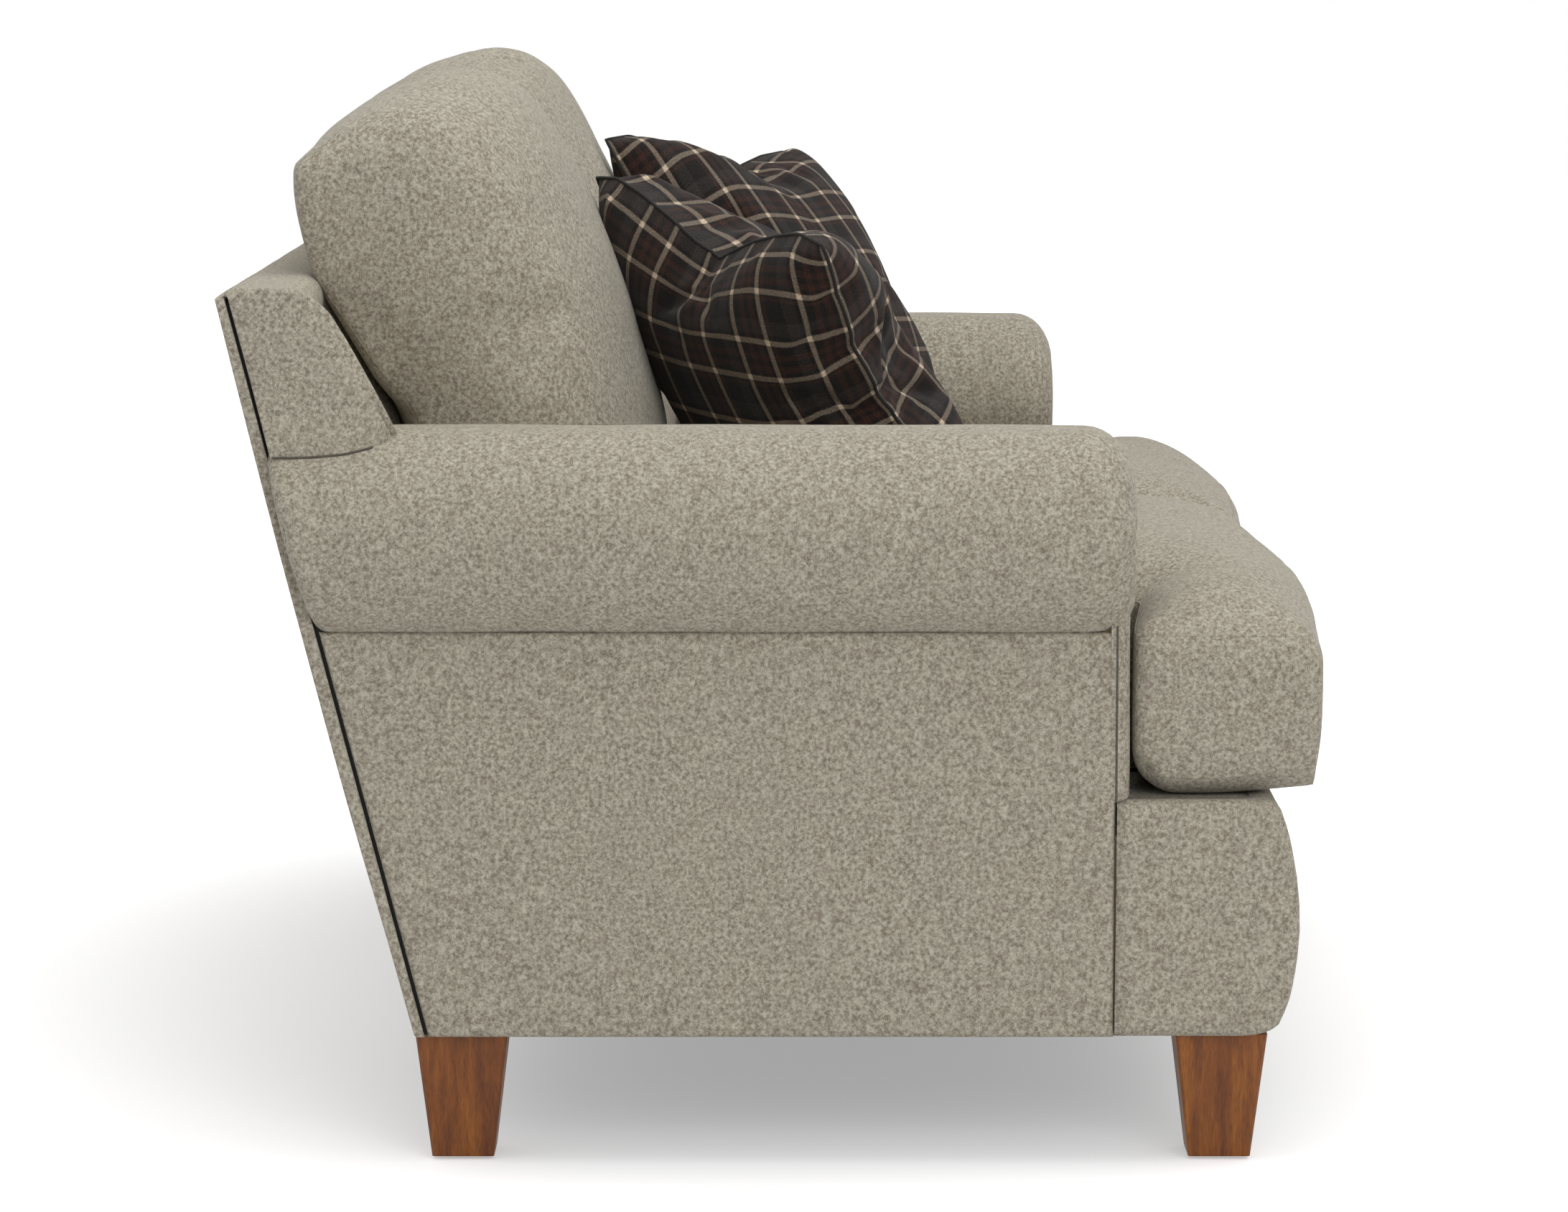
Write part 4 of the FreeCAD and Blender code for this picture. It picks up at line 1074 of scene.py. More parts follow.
def grooveShadeStrip(name, end):
    # Near-black cloth behind the groove between the end panels and the outside back: painted shade that
    # stands in for the dark of the groove and hides the frame behind it
    x = end * (sofa["armOuter"] - back["grooveDepth"])
    outward = x + end * 0.0012
    rows = []
    for z in spread(sofa["base"] + 0.002, sofa["backTop"] - 0.004, 0.04):
        rear = frameRearAt(z)
        rows.append([(x, rear - 0.012, z), (outward, rear - 0.006, z), (outward, rear + 0.0003, z)])
    piece = thicken(rowsPiece("grooveShadeStrip_" + name, rows), 0.0006)
    return dress(piece, dustClothAndGrooveShade, "sofa_frame", "under_cloth")


insideBack()
for name, end in ends.items():
    wing(name, end)
    wingSeam(name, end)
    grooveShadeStrip(name, end)
outsideBack()
print("back upholstered")


# Front border and deck

border = {
    # Height above the base, and how far the face stands back from its fullest line
    "profile": [(0.0, 0.030), (0.004, 0.0235), (0.011, 0.0165), (0.031, 0.0086), (0.050, 0.0045),
                (0.067, 0.0020), (0.090, 0.0), (0.115, 0.0007), (0.138, 0.0030), (0.170, 0.0085),
                (0.190, 0.0140), (0.207, 0.0205)],
    "topSetback": 0.0205,
    "topRound": 0.010,
    "corner": 0.014,
    "deckEdge": 0.006,      # the deck starts this far behind the border's top
    "deckSink": 0.0025,     # how far it sinks at its stitched edges
    "deckFade": 0.02,
}


def borderSetback(z):
    return throughKnots(border["profile"], z - sofa["base"], 1)


def frontBorder():
    half = sofa["armOuter"]
    rows = []
    for z, inset in turnedRows(sofa["base"], sofa["deck"], 0.012, border["topRound"]):
        front = sofa["borderFront"] + borderSetback(z) + inset
        path = wrapPath(0, half - inset, sofa["sideSeam"] - sofa["seamGap"], front, border["corner"], 80)
        rows.append([(x, y + unevenness((x, y, z), "border"), z) for x, y in path])
    return coverPiece("frontBorder", rows, 0.002, "front_border")


def deckPanel():
    # The deck cloth over its pad, a little full between its stitched edges
    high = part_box("deck_cloth")[1]
    inner, front = sofa["armInner"], sofa["borderFront"] + border["topSetback"] + border["deckEdge"]
    rows = []
    for y in edgedSpread(front, high.y, 0.02, 0.006, 3):
        reach = high.x if y < sofa["sideSeam"] else inner
        row = []
        for x in edgedSpread(-1, 1, 0.03, 0.01, 3):
            gap = min(y - front, high.y - y, (1 - abs(x)) * reach)
            full = -border["deckSink"] * (1 - clamp(gap / border["deckFade"])) + unevenness((x, y, 3), "deck")
            row.append((x * reach, y, high.z - 0.0012 + min(full, 0.0005)))
        rows.append(row)
    return coverPiece("deckPanel", rows, 0.0015, "deck_cloth", "deck_pad")


dust = {
    "hem": 0.004,           # turned under all round
    "sag": 0.004,
    "sagReach": 0.25,       # how far in from its edges it sags fully
    "stapleInset": 0.014,
    "staples": {"Spacing": 0.035, "Length": 0.011, "Wire": 0.0009, "Lean": 0.4, "Seed": 3},
}


def dustCover():
    # Black cloth under the frame, slack between its staples
    low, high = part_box("dust_cover")
    hem = dust["hem"]
    rows = []
    for y in edgedSpread(low.y + hem, high.y - hem, 0.03, 0.01, 3):
        row = []
        for x in edgedSpread(low.x + hem, high.x - hem, 0.03, 0.01, 3):
            gap = min(x - low.x, high.x - x, y - low.y, high.y - y)
            sag = dust["sag"] * smooth(gap / dust["sagReach"]) + abs(unevenness((x, y, 1), "dustCover"))
            row.append((x, y, low.z - sag * 0.5 + 0.0012))
        rows.append(row)
    piece = thicken(rowsPiece("dustCover", rows), 0.0008)
    dress(piece, dustClothAndGrooveShade, "sofa_frame", "under_cloth", "dust_cover")
    inset = dust["stapleInset"]
    outline = [(low.x + inset, low.y + inset, low.z), (high.x - inset, low.y + inset, low.z),
               (high.x - inset, high.y - inset, low.z), (low.x + inset, high.y - inset, low.z)]
    staples = meshPiece("staples", outline, [], [(0, 1), (1, 2), (2, 3), (3, 0)])
    runNodes(staples, stapleRow, {**dust["staples"], "Steel": zincSteel})
    return dress(staples, zincSteel, "sofa_frame", "plain_steel")


frontBorder()
deckPanel()
dustCover()
print("border, deck and underside made")


# Cushions: a skin of squares round a block, shaped by formula, puffed up as cloth, then subdivided

cellSides = [
    # The axis a side of a cell faces, the neighbour that would hide it, and its corners
    (0, (-1, 0, 0), ((0, 0, 0), (0, 0, 1), (0, 1, 1), (0, 1, 0))),
    (0, (1, 0, 0), ((1, 0, 0), (1, 1, 0), (1, 1, 1), (1, 0, 1))),
    (1, (0, -1, 0), ((0, 0, 0), (1, 0, 0), (1, 0, 1), (0, 0, 1))),
    (1, (0, 1, 0), ((0, 1, 0), (0, 1, 1), (1, 1, 1), (1, 1, 0))),
    (2, (0, 0, -1), ((0, 0, 0), (0, 1, 0), (1, 1, 0), (1, 0, 0))),
    (2, (0, 0, 1), ((0, 0, 1), (1, 0, 1), (1, 1, 1), (0, 1, 1))),
]


def cellSkin(xs, ys, zs, kept, panelAxis):
    # The outside of a block of cells, and its seam edges, where a panel meets the boxing
    index = {}
    points = []
    faces = []
    edgeAxes = {}
    counts = (len(xs) - 1, len(ys) - 1, len(zs) - 1)

    def corner(place):
        if place not in index:
            index[place] = len(points)
            points.append(place)
        return index[place]

    def inside(i, j, k):
        return 0 <= i < counts[0] and 0 <= j < counts[1] and 0 <= k < counts[2] and kept(i, j, k)

    for i, j, k in itertools.product(*(range(count) for count in counts)):
        if not inside(i, j, k):
            continue
        for axis, (di, dj, dk), corners in cellSides:
            if inside(i + di, j + dj, k + dk):
                continue
            face = [corner((i + ci, j + cj, k + ck)) for ci, cj, ck in corners]
            faces.append(face)
            for a, b in zip(face, face[1:] + face[:1]):
                edgeAxes.setdefault((min(a, b), max(a, b)), []).append(axis)
    seams = [edge for edge, met in edgeAxes.items() if panelAxis in met and len(set(met)) > 1]
    return points, faces, seams


def chains(seams):
    # Seam edges put in order as closed lines of point numbers
    beside = {}
    for a, b in seams:
        beside.setdefault(a, []).append(b)
        beside.setdefault(b, []).append(a)
    left = set(beside)
    lines = []
    while left:
        first = min(left)
        line = [first]
        left.discard(first)
        here = first
        while True:
            following = [n for n in beside[here] if n in left]
            if not following:
                break
            here = min(following)
            left.discard(here)
            line.append(here)
        lines.append(line)
    return lines


cover = {
    "quality": 5, "mass": 0.3, "tension_stiffness": 18, "compression_stiffness": 18, "shear_stiffness": 6,
    "bending_stiffness": 0.4, "use_pressure": True,
}


def puffUp(piece, cushion, give):
    # Blow the cover up as cloth, keep each move within a cap, and hold it where it rests
    scene = bpy.context.scene
    start = [vertex.co.copy() for vertex in piece.data.vertices]
    cloth = piece.modifiers.new("cover", "CLOTH")
    for setting, value in cover.items():
        setattr(cloth.settings, setting, value)
    cloth.settings.uniform_pressure_force = cushion["pressure"]
    cloth.settings.shrink_min = -cushion["spare"]
    cloth.settings.effector_weights.gravity = 0
    cloth.point_cache.frame_start = 1
    cloth.point_cache.frame_end = cushion["frames"]
    for step in range(1, cushion["frames"] + 1):
        scene.frame_set(step)
    graph = bpy.context.evaluated_depsgraph_get()
    puffed = [vertex.co.copy() for vertex in piece.evaluated_get(graph).data.vertices]
    piece.modifiers.clear()
    cap = cushion["cap"]
    for vertex, was, now in zip(piece.data.vertices, start, puffed):
        move = (now - was) * give(was)
        if move.length > 1e-9:
            move *= cap * math.tanh(move.length / cap) / move.length
        vertex.co = was + move
    scene.frame_set(1)
    return piece


def subdivide(piece, seams, crease):
    # One subdivision that keeps the seams crisp
    edges = {(min(a, b), max(a, b)) for a, b in seams}
    layer = piece.data.attributes.new("crease_edge", "FLOAT", "EDGE")
    values = [crease if (min(edge.vertices), max(edge.vertices)) in edges else 0.0
              for edge in piece.data.edges]
    layer.data.foreach_set("value", values)
    finer = piece.modifiers.new("finer", "SUBSURF")
    finer.levels = 1
    finer.render_levels = 1
    return settle(piece)


def seamPoints(piece, line, sunk=0.0):
    # Where a seam's points lie after subdivision, which keeps the first points' numbers
    vertices = piece.data.vertices
    return [vertices[number].co - vertices[number].normal * sunk for number in line]


def sewCushion(piece, cushion, seams, seamName, body, core):
    # Subdivide the cover, give it its cloth and run the seams round it
    subdivide(piece, seams, cushion["crease"])
    dress(piece, sofaCloth, body, "seat_fabric", body, core)
    loops = [(seamPoints(piece, line, cushion["seamSunk"]), True) for line in chains(seams)]
    cordAlong(seamName, loops, cushion["seamRadius"], sofaCloth, body, "seat_fabric")


def roundCorner(gapX, gapY, radius):
    # A square corner pulled in to a round one
    if gapX >= radius or gapY >= radius:
        return gapX, gapY
    a = (radius - gapX) / radius
    b = (radius - gapY) / radius
    return radius * (1 - a * math.sqrt(1 - b * b / 2)), radius * (1 - b * math.sqrt(1 - a * a / 2))


seat = {
    "step": 0.0105,
    # The side view is a rounded curve: level part, rise to the crown, how far in it reaches, its power
    "level": 0.123,
    "rise": 0.079,
    "reach": 0.235,
    "power": 2.3,
    "seamIn": 0.0098,       # the seam lies this far in from the fullest line
    "foot": 3.0,            # power of the boxing's curve below the level part
    "frontIn": 0.0305,      # from the fullest point of the front back to the seam's ends
    "frontBulge": 0.018,
    "bulgeReach": 0.13,     # how far back the bulge dies away
    "edgeReach": 0.03,      # how far in from an edge the boxing's fullness and lift die away
    "earGap": 0.0025,       # between the ear and the arm's nose
    "bodyGap": 0.003,       # between the body and the inside of the arm
    "earDroop": 0.010,
    "droopStart": 0.06,
    "earTaper": 0.014,      # the ear's rear side runs forward towards the arm's inner side
    "taperReach": 0.06,
    "corner": 0.020,        # of its plan, and each corner takes its own share
    "earFootRound": 0.037,
    "endLift": 0.018,
    "frontFootLift": 0.009,
    "footLiftEnd": 0.12,    # how far in from the end and the front the foot is turned up
    "footLiftFront": 0.09,
    "cap": 0.004,           # the most that a point of the cover moves
    "pressure": 3,
    "frames": 18,
    "spare": 0.012,         # how much longer the cloth is than its first form
    "crease": 0.35,
    "seamSunk": 0.0004,
    "seamRadius": 0.0008,
}


def seatCurve(gap):
    # Height above the level part, at a distance in from the fullest line
    share = 1 - clamp(gap / seat["reach"])
    return seat["rise"] * (1 - share ** seat["power"]) ** (1 / seat["power"])


def seatInset(height):
    # The other way round: how far in the curve has turned, at a height above the level part
    share = clamp(height / seat["rise"])
    return seat["reach"] * (1 - (1 - share ** seat["power"]) ** (1 / seat["power"]))


def seatCushion(name, end):
    low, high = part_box("seat_cushion_" + name)
    inner = min(abs(low.x), abs(high.x))
    outer = max(abs(low.x), abs(high.x)) - seat["seamIn"]
    bodyEnd = sofa["armInner"] - seat["bodyGap"]
    front = low.y + seat["frontIn"]
    earRear = sofa["armFront"] + seat["earGap"]
    rear = high.y
    foot = low.z
    level = foot + seat["level"]
    edge = level + seatCurve(seat["seamIn"])
    step = seat["step"]
    xs = spread(inner, bodyEnd, step) + spread(bodyEnd, outer, step)[1:]
    ys = spread(front, earRear, step) + spread(earRear, rear, step)[1:]
    zs = spread(foot, edge, step)
    bodyCells = len(spread(inner, bodyEnd, step)) - 1
    earCells = len(spread(front, earRear, step)) - 1
    cells, faces, seams = cellSkin(xs, ys, zs, lambda i, j, k: i < bodyCells or j < earCells, 2)

    sides = [
        ((inner, front), (inner, rear)), ((inner, front), (outer, front)), ((outer, front), (outer, earRear)),
        ((bodyEnd, earRear), (outer, earRear)), ((bodyEnd, earRear), (bodyEnd, rear)),
        ((inner, rear), (bodyEnd, rear)),
    ]

    def edgeGap(x, y):
        # A soft least distance to the cushion's outline
        total = 0.0
        for (ax, ay), (bx, by) in sides:
            along = clamp(((x - ax) * (bx - ax) + (y - ay) * (by - ay)) / ((bx - ax) ** 2 + (by - ay) ** 2))
            away = math.hypot(x - mix(ax, bx, along), y - mix(ay, by, along))
            if away < 1e-6:
                return 0.0
            total += away ** -4.0
        return total ** (-1 / 4.0)

    points = []
    for i, j, k in cells:
        gridX, gridY, gridZ = xs[i], ys[j], zs[k]
        x, y, z = gridX, gridY, gridZ
        w = k / (len(zs) - 1)
        isTop = k == len(zs) - 1
        # Vertical corners are rounded, less at the foot, where the front corner stays pointed
        for cornerX, cornerY, toX, toY, scale in (
                (outer, front, -1, 1, 0.35 + 0.85 * w), (outer, earRear, -1, -1, 1.0),
                (inner, front, 1, 1, 0.8), (inner, rear, 1, -1, 1.3), (bodyEnd, rear, -1, -1, 1.3)):
            radius = seat["corner"] * scale
            gapX, gapY = (x - cornerX) * toX, (y - cornerY) * toY
            if 0 <= gapX < radius and 0 <= gapY < radius:
                newX, newY = roundCorner(gapX, gapY, radius)
                x, y = cornerX + newX * toX, cornerY + newY * toY
        # The boxing is fullest at the level part, and turns in above it and below it
        if gridZ >= level:
            full = seat["seamIn"] - seatInset(gridZ - level)
        else:
            full = seat["seamIn"] * (1 - ((level - gridZ) / seat["level"]) ** seat["foot"])
        share = (gridX - inner) / (outer - inner)
        swell = seat["frontBulge"] * math.sin(math.pi * clamp(share)) ** 1.7
        swell *= math.sin(math.pi / 2 * clamp(w / 0.8)) ** 1.2
        frontGap = gridY - front
        endGap = outer - gridX
        rearGap = earRear - gridY
        onEar = smooth((gridX - bodyEnd + 0.002) / 0.008)
        bulge = swell * clamp(1 - frontGap / seat["bulgeReach"]) ** 1.5
        y -= bulge + full * clamp(1 - frontGap / seat["edgeReach"])
        x += full * clamp(1 - endGap / seat["edgeReach"])
        if onEar and abs(rearGap) < 1e-6:
            y += 0.0015 * math.sin(math.pi * w)
        taper = (1 - clamp((gridX - bodyEnd) / (outer - bodyEnd))) * clamp(1 - (bodyEnd - gridX) / 0.05)
        y -= seat["earTaper"] * taper * clamp(1 - abs(rearGap) / seat["taperReach"])
        droopStart = bodyEnd - seat["droopStart"]
        z -= seat["earDroop"] * smooth((gridX - droopStart) / (outer - droopStart)) * w
        if isTop:
            z += seatCurve(edgeGap(gridX, gridY) + seat["seamIn"]) - seatCurve(seat["seamIn"])
        # The ear's foot is round behind and turned up at its end
        if onEar:
            radius = seat["earFootRound"]
            if 0 <= rearGap < radius and z - foot < radius:
                newBack, newUp = roundCorner(rearGap, z - foot, radius)
                y -= onEar * (newBack - rearGap)
                z += onEar * (newUp - (z - foot))
        lift = seat["endLift"] * clamp(1 - endGap / seat["edgeReach"]) ** 1.5
        turnedUp = clamp(1 - endGap / seat["footLiftEnd"])
        turnedUp *= clamp(1 - frontGap / seat["footLiftFront"]) ** 1.3
        z += (lift + seat["frontFootLift"] * turnedUp) * (1 - w) ** 2.5
        wobble = unevenness((end * x, y, z), "seat") + unevenness((end * x, y, z), "seatFine")
        if isTop:
            z += wobble * smooth(edgeGap(gridX, gridY) / 0.03)
        elif w > 0 and gridY == front:
            y -= wobble * w
        elif w > 0 and gridX == outer:
            x += wobble * w * 0.6
        points.append(Vector((end * x, y, z)))

    def give(point):
        # The foot stays on the deck, and sides against something else move less
        free = smooth((point.z - foot) / 0.05)
        x = abs(point.x)
        if point.z < edge - 0.002:
            if x < inner + 0.004 or point.y > rear - 0.004:
                free *= 0.1
            if bodyEnd - 0.004 < x < bodyEnd + 0.004 and point.y > earRear:
                free *= 0.1
            if x > bodyEnd and point.y > earRear - 0.004:
                free *= 0.15
            if point.y < front or x > outer:
                free *= 0.4
        return free

    piece = meshPiece("seatCushion_" + name, points, faces)
    if end < 0:
        faceOut(piece)
    puffUp(piece, seat, give)
    sewCushion(piece, seat, seams, "seatSeam_" + name, "seat_cushion_" + name, "seat_core_" + name)
    return piece


# Back cushions

rest = {
    "across": 58, "deep": 22, "tall": 42,   # squares each way
    "seatThickness": 0.162,
    "seatGap": 0.011,
    "centre": (0.105, 0.190),               # depth and height of its middle
    # Side view at the middle: depth from the inside back, height along it
    "middle": [(0.0, 0.0004, 0.0), (0.45, 0.0004, 0.19), (0.62, 0.0004, 0.262), (0.74, -0.003, 0.325),
               (0.87, -0.001, 0.373), (1.0, 0.012, 0.413), (1.3, 0.060, 0.4300), (1.6, 0.112, 0.4305),
               (2.0, 0.176, 0.4060), (2.2, 0.2055, 0.3600), (2.45, 0.218, 0.262), (2.7, 0.2155, 0.150),
               (2.88, 0.200, 0.035), (3.0, 0.176, -0.045), (3.15, 0.145, -0.052), (3.5, 0.085, -0.027)],
    # How its outer end lies against the flat slope at each height along it: forward at the foot, back in the
    # gutter beside the wing, and hanging over the crown
    "endRear": [(0.10, 0.010), (0.15, 0.010), (0.19, -0.002), (0.24, -0.009), (0.295, -0.015), (0.33, -0.009),
                (0.355, -0.005), (0.38, -0.002), (0.41, 0.0)],
    "endStart": 0.10,       # how far in from the outer end that starts
    "endFade": 0.07,
    "rearReach": 0.12,      # how deep into the cushion it is felt
    "fullPower": 2.4,
    "endDepth": 0.74,       # the ends as shares of the middle
    "endHeight": 0.952,
    "endFoot": 0.6,
    "endRound": 0.044,
    "endInset": 0.032,
    "endDome": 0.014,
    "taller": {"left": -0.004, "right": 0.007},
    "cap": 0.008,           # these as in the seat cushion
    "pressure": 4,
    "frames": 18,
    "spare": 0.015,
    "crease": 0.15,
    "seamSunk": 0.0005,
    "seamRadius": 0.0008,
}


def closedCurve(knots, place):
    # A smooth closed line through knots (place, u, v), whose places run from 0 to 4
    count = len(knots)
    place = place % 4
    for index in range(count):
        here = knots[index]
        after = knots[(index + 1) % count]
        nextPlace = after[0] if index < count - 1 else 4.0
        if here[0] <= place <= nextPlace:
            before = knots[index - 1]
            further = knots[(index + 2) % count]
            beforePlace = before[0] - (4 if index == 0 else 0)
            furtherPlace = further[0] + (4 if index >= count - 2 else 0)
            span = nextPlace - here[0]
            t = (place - here[0]) / span
            result = []
            for axis in (1, 2):
                first = (after[axis] - before[axis]) / (nextPlace - beforePlace) * span
                second = (further[axis] - here[axis]) / (furtherPlace - here[0]) * span
                a, b = here[axis], after[axis]
                result.append((2 * t ** 3 - 3 * t ** 2 + 1) * a + (t ** 3 - 2 * t ** 2 + t) * first
                              + (3 * t ** 2 - 2 * t ** 3) * b + (t ** 3 - t ** 2) * second)
            return result
    return [knots[0][1], knots[0][2]]


def squarePlace(b, c):
    # Where a direction meets the square's edge, as a place from 0 to 4: rear, top, front, foot
    reach = max(abs(b), abs(c))
    if reach < 1e-9:
        return 0.0, 0.0
    b, c = b / reach, c / reach
    if b <= -1 + 1e-9:
        return reach, (c + 1) / 2
    if c >= 1 - 1e-9:
        return reach, 1 + (b + 1) / 2
    if b >= 1 - 1e-9:
        return reach, 2 + (1 - c) / 2
    return reach, (3 + (1 - b) / 2) % 4


def backCushion(name, end):
    low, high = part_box("back_cushion_" + name)
    inner = min(abs(low.x), abs(high.x))
    outer = max(abs(low.x), abs(high.x))
    foot = sofa["deck"] + rest["seatThickness"] + rest["seatGap"]
    lean = sofa["insideRake"]
    up = Vector((0, math.sin(lean), math.cos(lean)))
    out = Vector((0, -math.cos(lean), math.sin(lean)))
    xs = spread(0, 1, 1 / rest["across"])
    bs = spread(0, 1, 1 / rest["deep"])
    cs = spread(0, 1, 1 / rest["tall"])
    cells, faces, seams = cellSkin(xs, bs, cs, lambda i, j, k: True, 1)
    centre = Vector(rest["centre"])
    width = outer - inner
    points = []
    for i, j, k in cells:
        # Fullest in the middle of its width
        across = xs[i]
        full = 1 - abs(2 * across - 1) ** rest["fullPower"]
        reach, place = squarePlace(2 * bs[j] - 1, 2 * cs[k] - 1)
        depth, height = closedCurve(rest["middle"], place)
        depth *= mix(rest["endDepth"], 1, full)
        height *= mix(rest["endHeight" if height > 0 else "endFoot"], 1, full)
        height += rest["taller"][name] * smooth(height / 0.3)
        mid = Vector((centre.x * mix(rest["endDepth"], 1, full), centre.y))
        away = Vector((depth, height)) - mid
        # Rounded where the sides turn in
        edgeGap = min(across, 1 - across) * width
        inset = rollOver(edgeGap, rest["endRound"]) / rest["endRound"] * rest["endInset"]
        inset *= mix(0.35, 1, smooth((depth - 0.01) / 0.06))    # the rear edges stay tight
        away *= max(0.0, 1 - inset / max(away.length, 1e-6))
        spot = mid + away * reach
        x = inner + width * across
        if i == 0 or i == len(xs) - 1:
            dome = rest["endDome"] * (1 - reach ** 2)
            x += dome if i else -dome * 0.05
        atEnd = smooth((rest["endStart"] - (1 - across) * width) / rest["endFade"])
        shift = throughKnots(rest["endRear"], spot.y, 1) * atEnd
        spot.x += shift * clamp(1 - depth / rest["rearReach"])
        depth, height = max(spot.x, min(shift, -0.004 * smooth((spot.y - 0.29) / 0.03)) + 0.0004), spot.y
        base = Vector((end * x, insideAt(foot), foot))
        point = base + out * depth + up * height
        wobble = unevenness(point, "backCushion") + unevenness(point, "backCushionFine")
        grow = point - (base + out * mid.x + up * mid.y)
        if depth > 0.003 and grow.length > 0:
            point += grow.normalized() * wobble
        points.append(point)

    slopeFoot = Vector((0, insideAt(foot), foot))

    def give(point):
        # The rear stays on the slope, and the sides move less than the face
        depth = (point - slopeFoot).dot(out)
        free = smooth((depth - 0.002) / 0.03)
        x = abs(point.x)
        if x < inner + 0.002:
            free *= 0.1
        if x > outer - 0.03:
            free *= 0.5
        return free

    piece = meshPiece("backCushion_" + name, points, faces)
    faceOut(piece)
    puffUp(piece, rest, give)
    sewCushion(piece, rest, seams, "backSeam_" + name, "back_cushion_" + name, "back_core_" + name)
    return piece


# Throw pillows: two squares of cloth sewn round and filled, then set down with a dent in the top edge

pillow = {
    "cut": 0.425,           # side of the cloth squares
    "cells": 60,
    "bulge": 0.030,         # each face's fullness before it is blown up
    "quickBulge": 0.058,    # the same when nothing is blown up
    "width": 0.398,         # corner to corner once filled
    "height": 0.365,        # from foot to head along the bend
    "pressure": 5,
    "frames": 36,
    "cap": 0.075,           # the most that a point of the cover moves
    "spare": 0.0,           # how much longer the cloth is than its first form
    "blunt": 0.10,          # how much shorter the corners are than the cloth's own
    "backFill": 0.82,       # the side towards the sofa's back is flatter
    "rimReach": 0.72,       # the cloth follows the head's rim from this share of the height
    "downward": 0.7,        # share of the dent that goes straight down, not along the bend
    # How it leans at the head and how much more at the foot, where the dent in its top edge starts, how full
    # its face is, the top's inner and outer corners (mirrored for the left), and how the rim runs between
    "left": {
        "headLean": math.radians(26), "bend": math.radians(25), "dentFrom": 0.72, "front": 1.06,
        "inner": (0.238, 0.186, 0.834), "outer": (0.570, -0.033, 0.791),
        "rim": [(0.0, 0.0), (0.12, 0.006), (0.22, -0.003), (0.34, -0.020), (0.44, -0.038), (0.52, -0.050),
                (0.60, -0.036), (0.70, -0.020), (0.80, -0.008), (0.90, 0.001), (1.0, -0.004)],
    },
    "right": {
        "headLean": math.radians(29), "bend": math.radians(10), "dentFrom": 0.40, "front": 0.94,
        "inner": (0.238, 0.185, 0.853), "outer": (0.570, -0.008, 0.825),
        "rim": [(0.0, 0.0), (0.12, 0.006), (0.25, -0.001), (0.38, -0.018), (0.50, -0.040), (0.58, -0.034),
                (0.68, -0.018), (0.80, -0.005), (0.92, 0.002), (1.0, 0.0)],
    },
    "cordRadius": 0.0017,
    "bendSteps": 40,
}


def filledPillow(name):
    # Front and back squares share their rim. The cloth's own coordinates carry the plaid.
    n = pillow["cells"]
    half = pillow["cut"] / 2
    points = []
    cloth = []
    index = {}
    for layer in (0, 1):
        for r in range(n + 1):
            for c in range(n + 1):
                rim = r in (0, n) or c in (0, n)
                if layer and rim:
                    index[layer, r, c] = index[0, r, c]
                    continue
                u, v = (2 * c / n - 1), (2 * r / n - 1)
                bulge = pillow["bulge"] * max(0, (1 - u * u) * (1 - v * v)) ** 0.7
                index[layer, r, c] = len(points)
                side = -1 if layer else 1
                points.append((half * u, side * -bulge, half * v))
                cloth.append((u * half + half, v * half + half))
    faces = []
    for layer in (0, 1):
        for r in range(n):
            for c in range(n):
                square = [index[layer, r, c], index[layer, r, c + 1], index[layer, r + 1, c + 1],
                          index[layer, r + 1, c]]
                faces.append(square if layer == 0 else square[::-1])
    piece = meshPiece(name, points, faces)
    layer = piece.data.uv_layers.new(name="cloth")
    for polygon in piece.data.polygons:
        for loop in polygon.loop_indices:
            layer.data[loop].uv = cloth[piece.data.loops[loop].vertex_index]
    rim = [index[0, 0, c] for c in range(n)] + [index[0, r, n] for r in range(n)]
    rim += [index[0, n, c] for c in range(n, 0, -1)] + [index[0, r, 0] for r in range(n, 0, -1)]
    return piece, rim


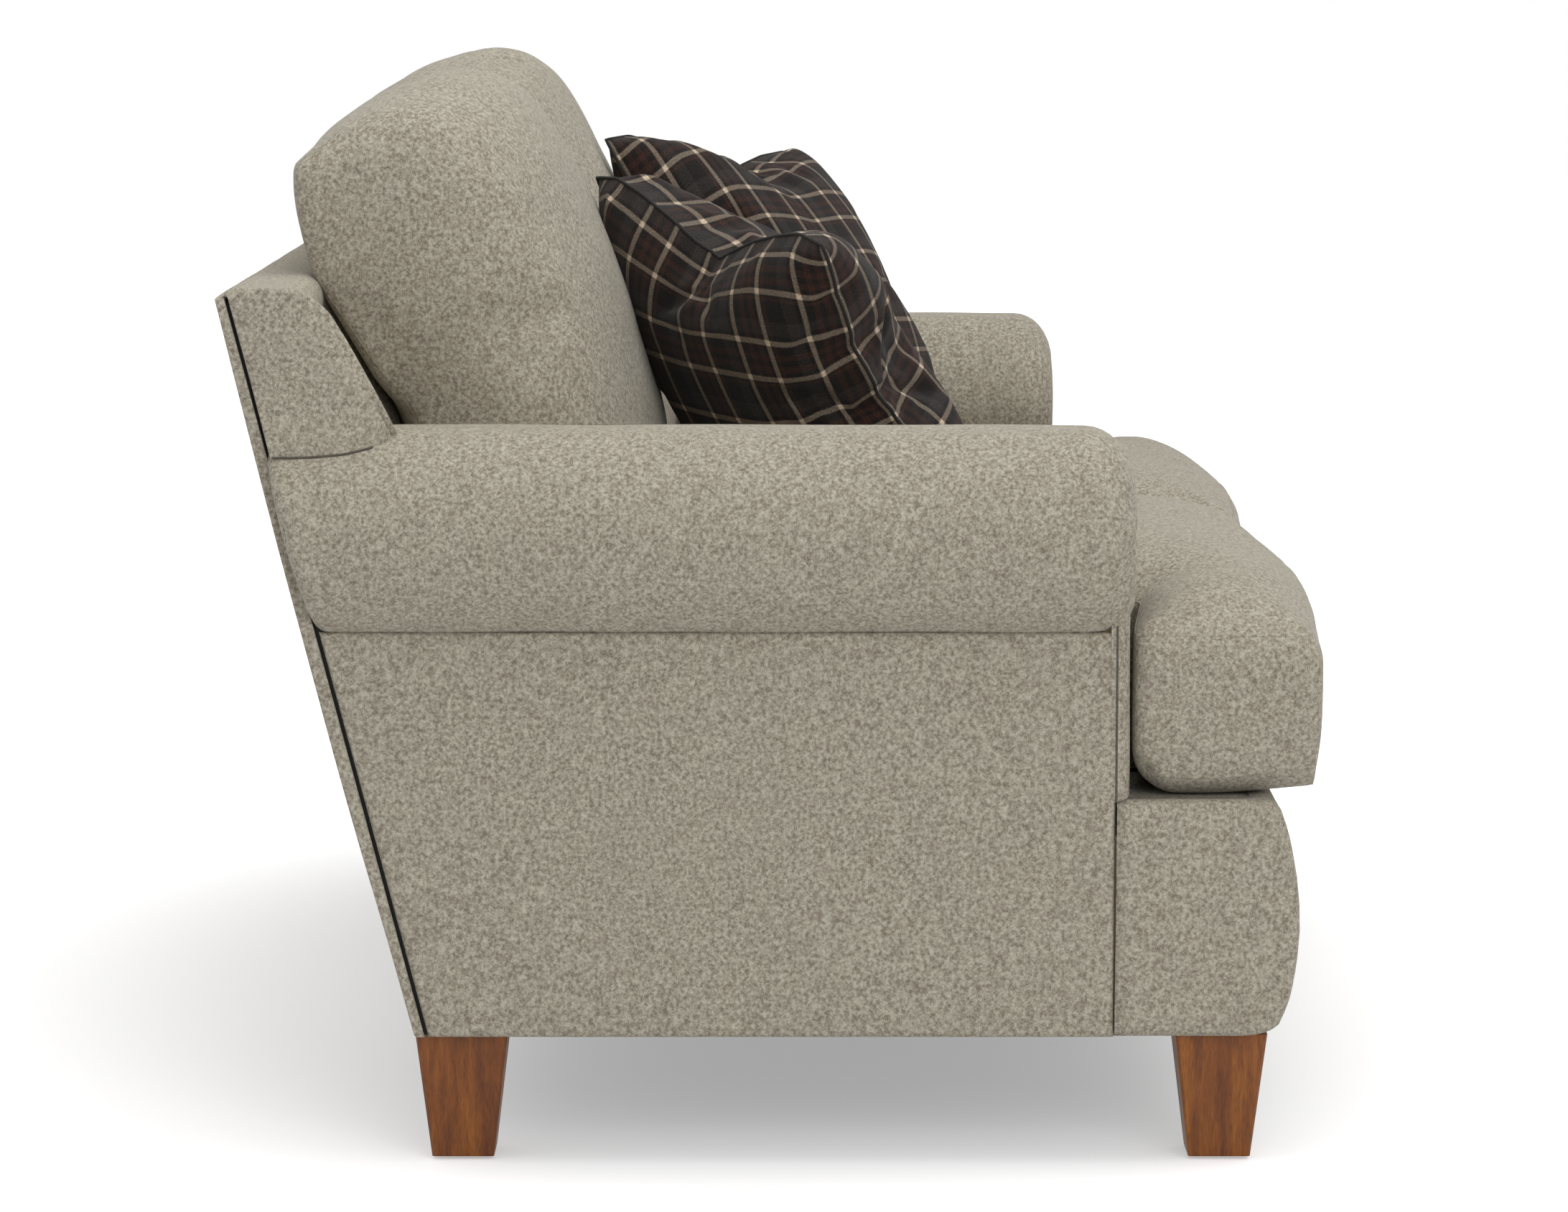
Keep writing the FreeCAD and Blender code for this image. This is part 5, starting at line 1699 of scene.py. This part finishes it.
def throwPillow(name, end):
    piece, rim = filledPillow("throwPillow_" + name)
    puffUp(piece, pillow, lambda point: 1)
    corner = max(vertex.co.x for vertex in piece.data.vertices)
    half = pillow["width"] / 2
    for vertex in piece.data.vertices:
        u, v = vertex.co.x / corner, vertex.co.z / corner
        shorter = (1 - pillow["blunt"] * abs(u * v) ** 1.5) / (1 - 0.6 * pillow["blunt"])
        vertex.co = Vector((u * shorter, vertex.co.y / corner, v * shorter))
    own = pillow[name]
    mirror = Vector((end, 1, 1))
    inner, outer = Vector(own["inner"]) * mirror, Vector(own["outer"]) * mirror
    outward = (outer - inner).normalized()
    slope = outward.z / math.hypot(outward.x, outward.y)
    along = Vector((outward.x, outward.y, 0)).normalized()
    facing = Vector((-along.y, along.x, 0)) * -end
    up = Vector((0, 0, 1))
    head = (inner + outer) / 2

    def leanAt(share):
        return own["headLean"] + own["bend"] * (1 - clamp(share)) ** 2

    # The bend from head to foot, as points along it
    steps = pillow["bendSteps"]
    spine = [Vector((0, 0, 0))]
    for k in range(steps):
        lean = leanAt(1 - (k + 0.5) / steps)
        spine.append(spine[-1] + (facing * math.sin(lean) - up * math.cos(lean)) * (pillow["height"] / steps))

    def spineAt(share):
        place = (1 - share) * steps
        first = min(max(int(place), 0), steps - 1)
        return spine[first] + (spine[first + 1] - spine[first]) * (place - first)

    cells = pillow["cells"]
    headRim = sorted((end * piece.data.vertices[k].co.x, (piece.data.vertices[k].co.z + 1) / 2)
                     for k in rim[2 * cells:3 * cells + 1])
    for vertex in piece.data.vertices:
        across = end * vertex.co.x      # -1 at the inner side, 1 at the outer side
        share = (vertex.co.z + 1) / 2
        thick = -vertex.co.y * half * (own["front"] if vertex.co.y < 0 else pillow["backFill"])
        # The head's rim runs along its own line, and the cloth just below it follows
        rimShare = throughKnots(headRim, across, 1)
        near = clamp((share / rimShare - pillow["rimReach"]) / (1 - pillow["rimReach"])) ** 2
        dent = clamp((share / rimShare - own["dentFrom"]) / (1 - own["dentFrom"])) ** 2
        drop = throughKnots(own["rim"], (across + 1) / 2, 1) * dent
        share += (1 - rimShare) * near + (1 - pillow["downward"]) * drop / pillow["height"]
        lean = leanAt(share)
        level = clamp(share) ** 1.5
        sunk = slope * across * half * level + pillow["downward"] * drop
        vertex.co = (head + along * (across * half) + up * sunk + spineAt(share)
                     + (facing * math.cos(lean) + up * math.sin(lean)) * thick)
    loop = [(a, b) for a, b in zip(rim, rim[1:] + rim[:1])]
    subdivide(piece, loop, 1.0)
    body = "throw_pillow_" + name
    dress(piece, pillowCloth, body, "pillow_plaid", "throw_pillow_" + name, "pillow_insert_" + name)
    cordAlong("pillowCord_" + name, [(seamPoints(piece, rim), True)], pillow["cordRadius"], cordCloth,
              body, "pillow_plaid", sides=8)
    return piece


for name, end in ends.items():
    seatCushion(name, end)
    print("seat cushion", name, "made")
    backCushion(name, end)
    print("back cushion", name, "made")
    throwPillow(name, end)
    print("throw pillow", name, "made")
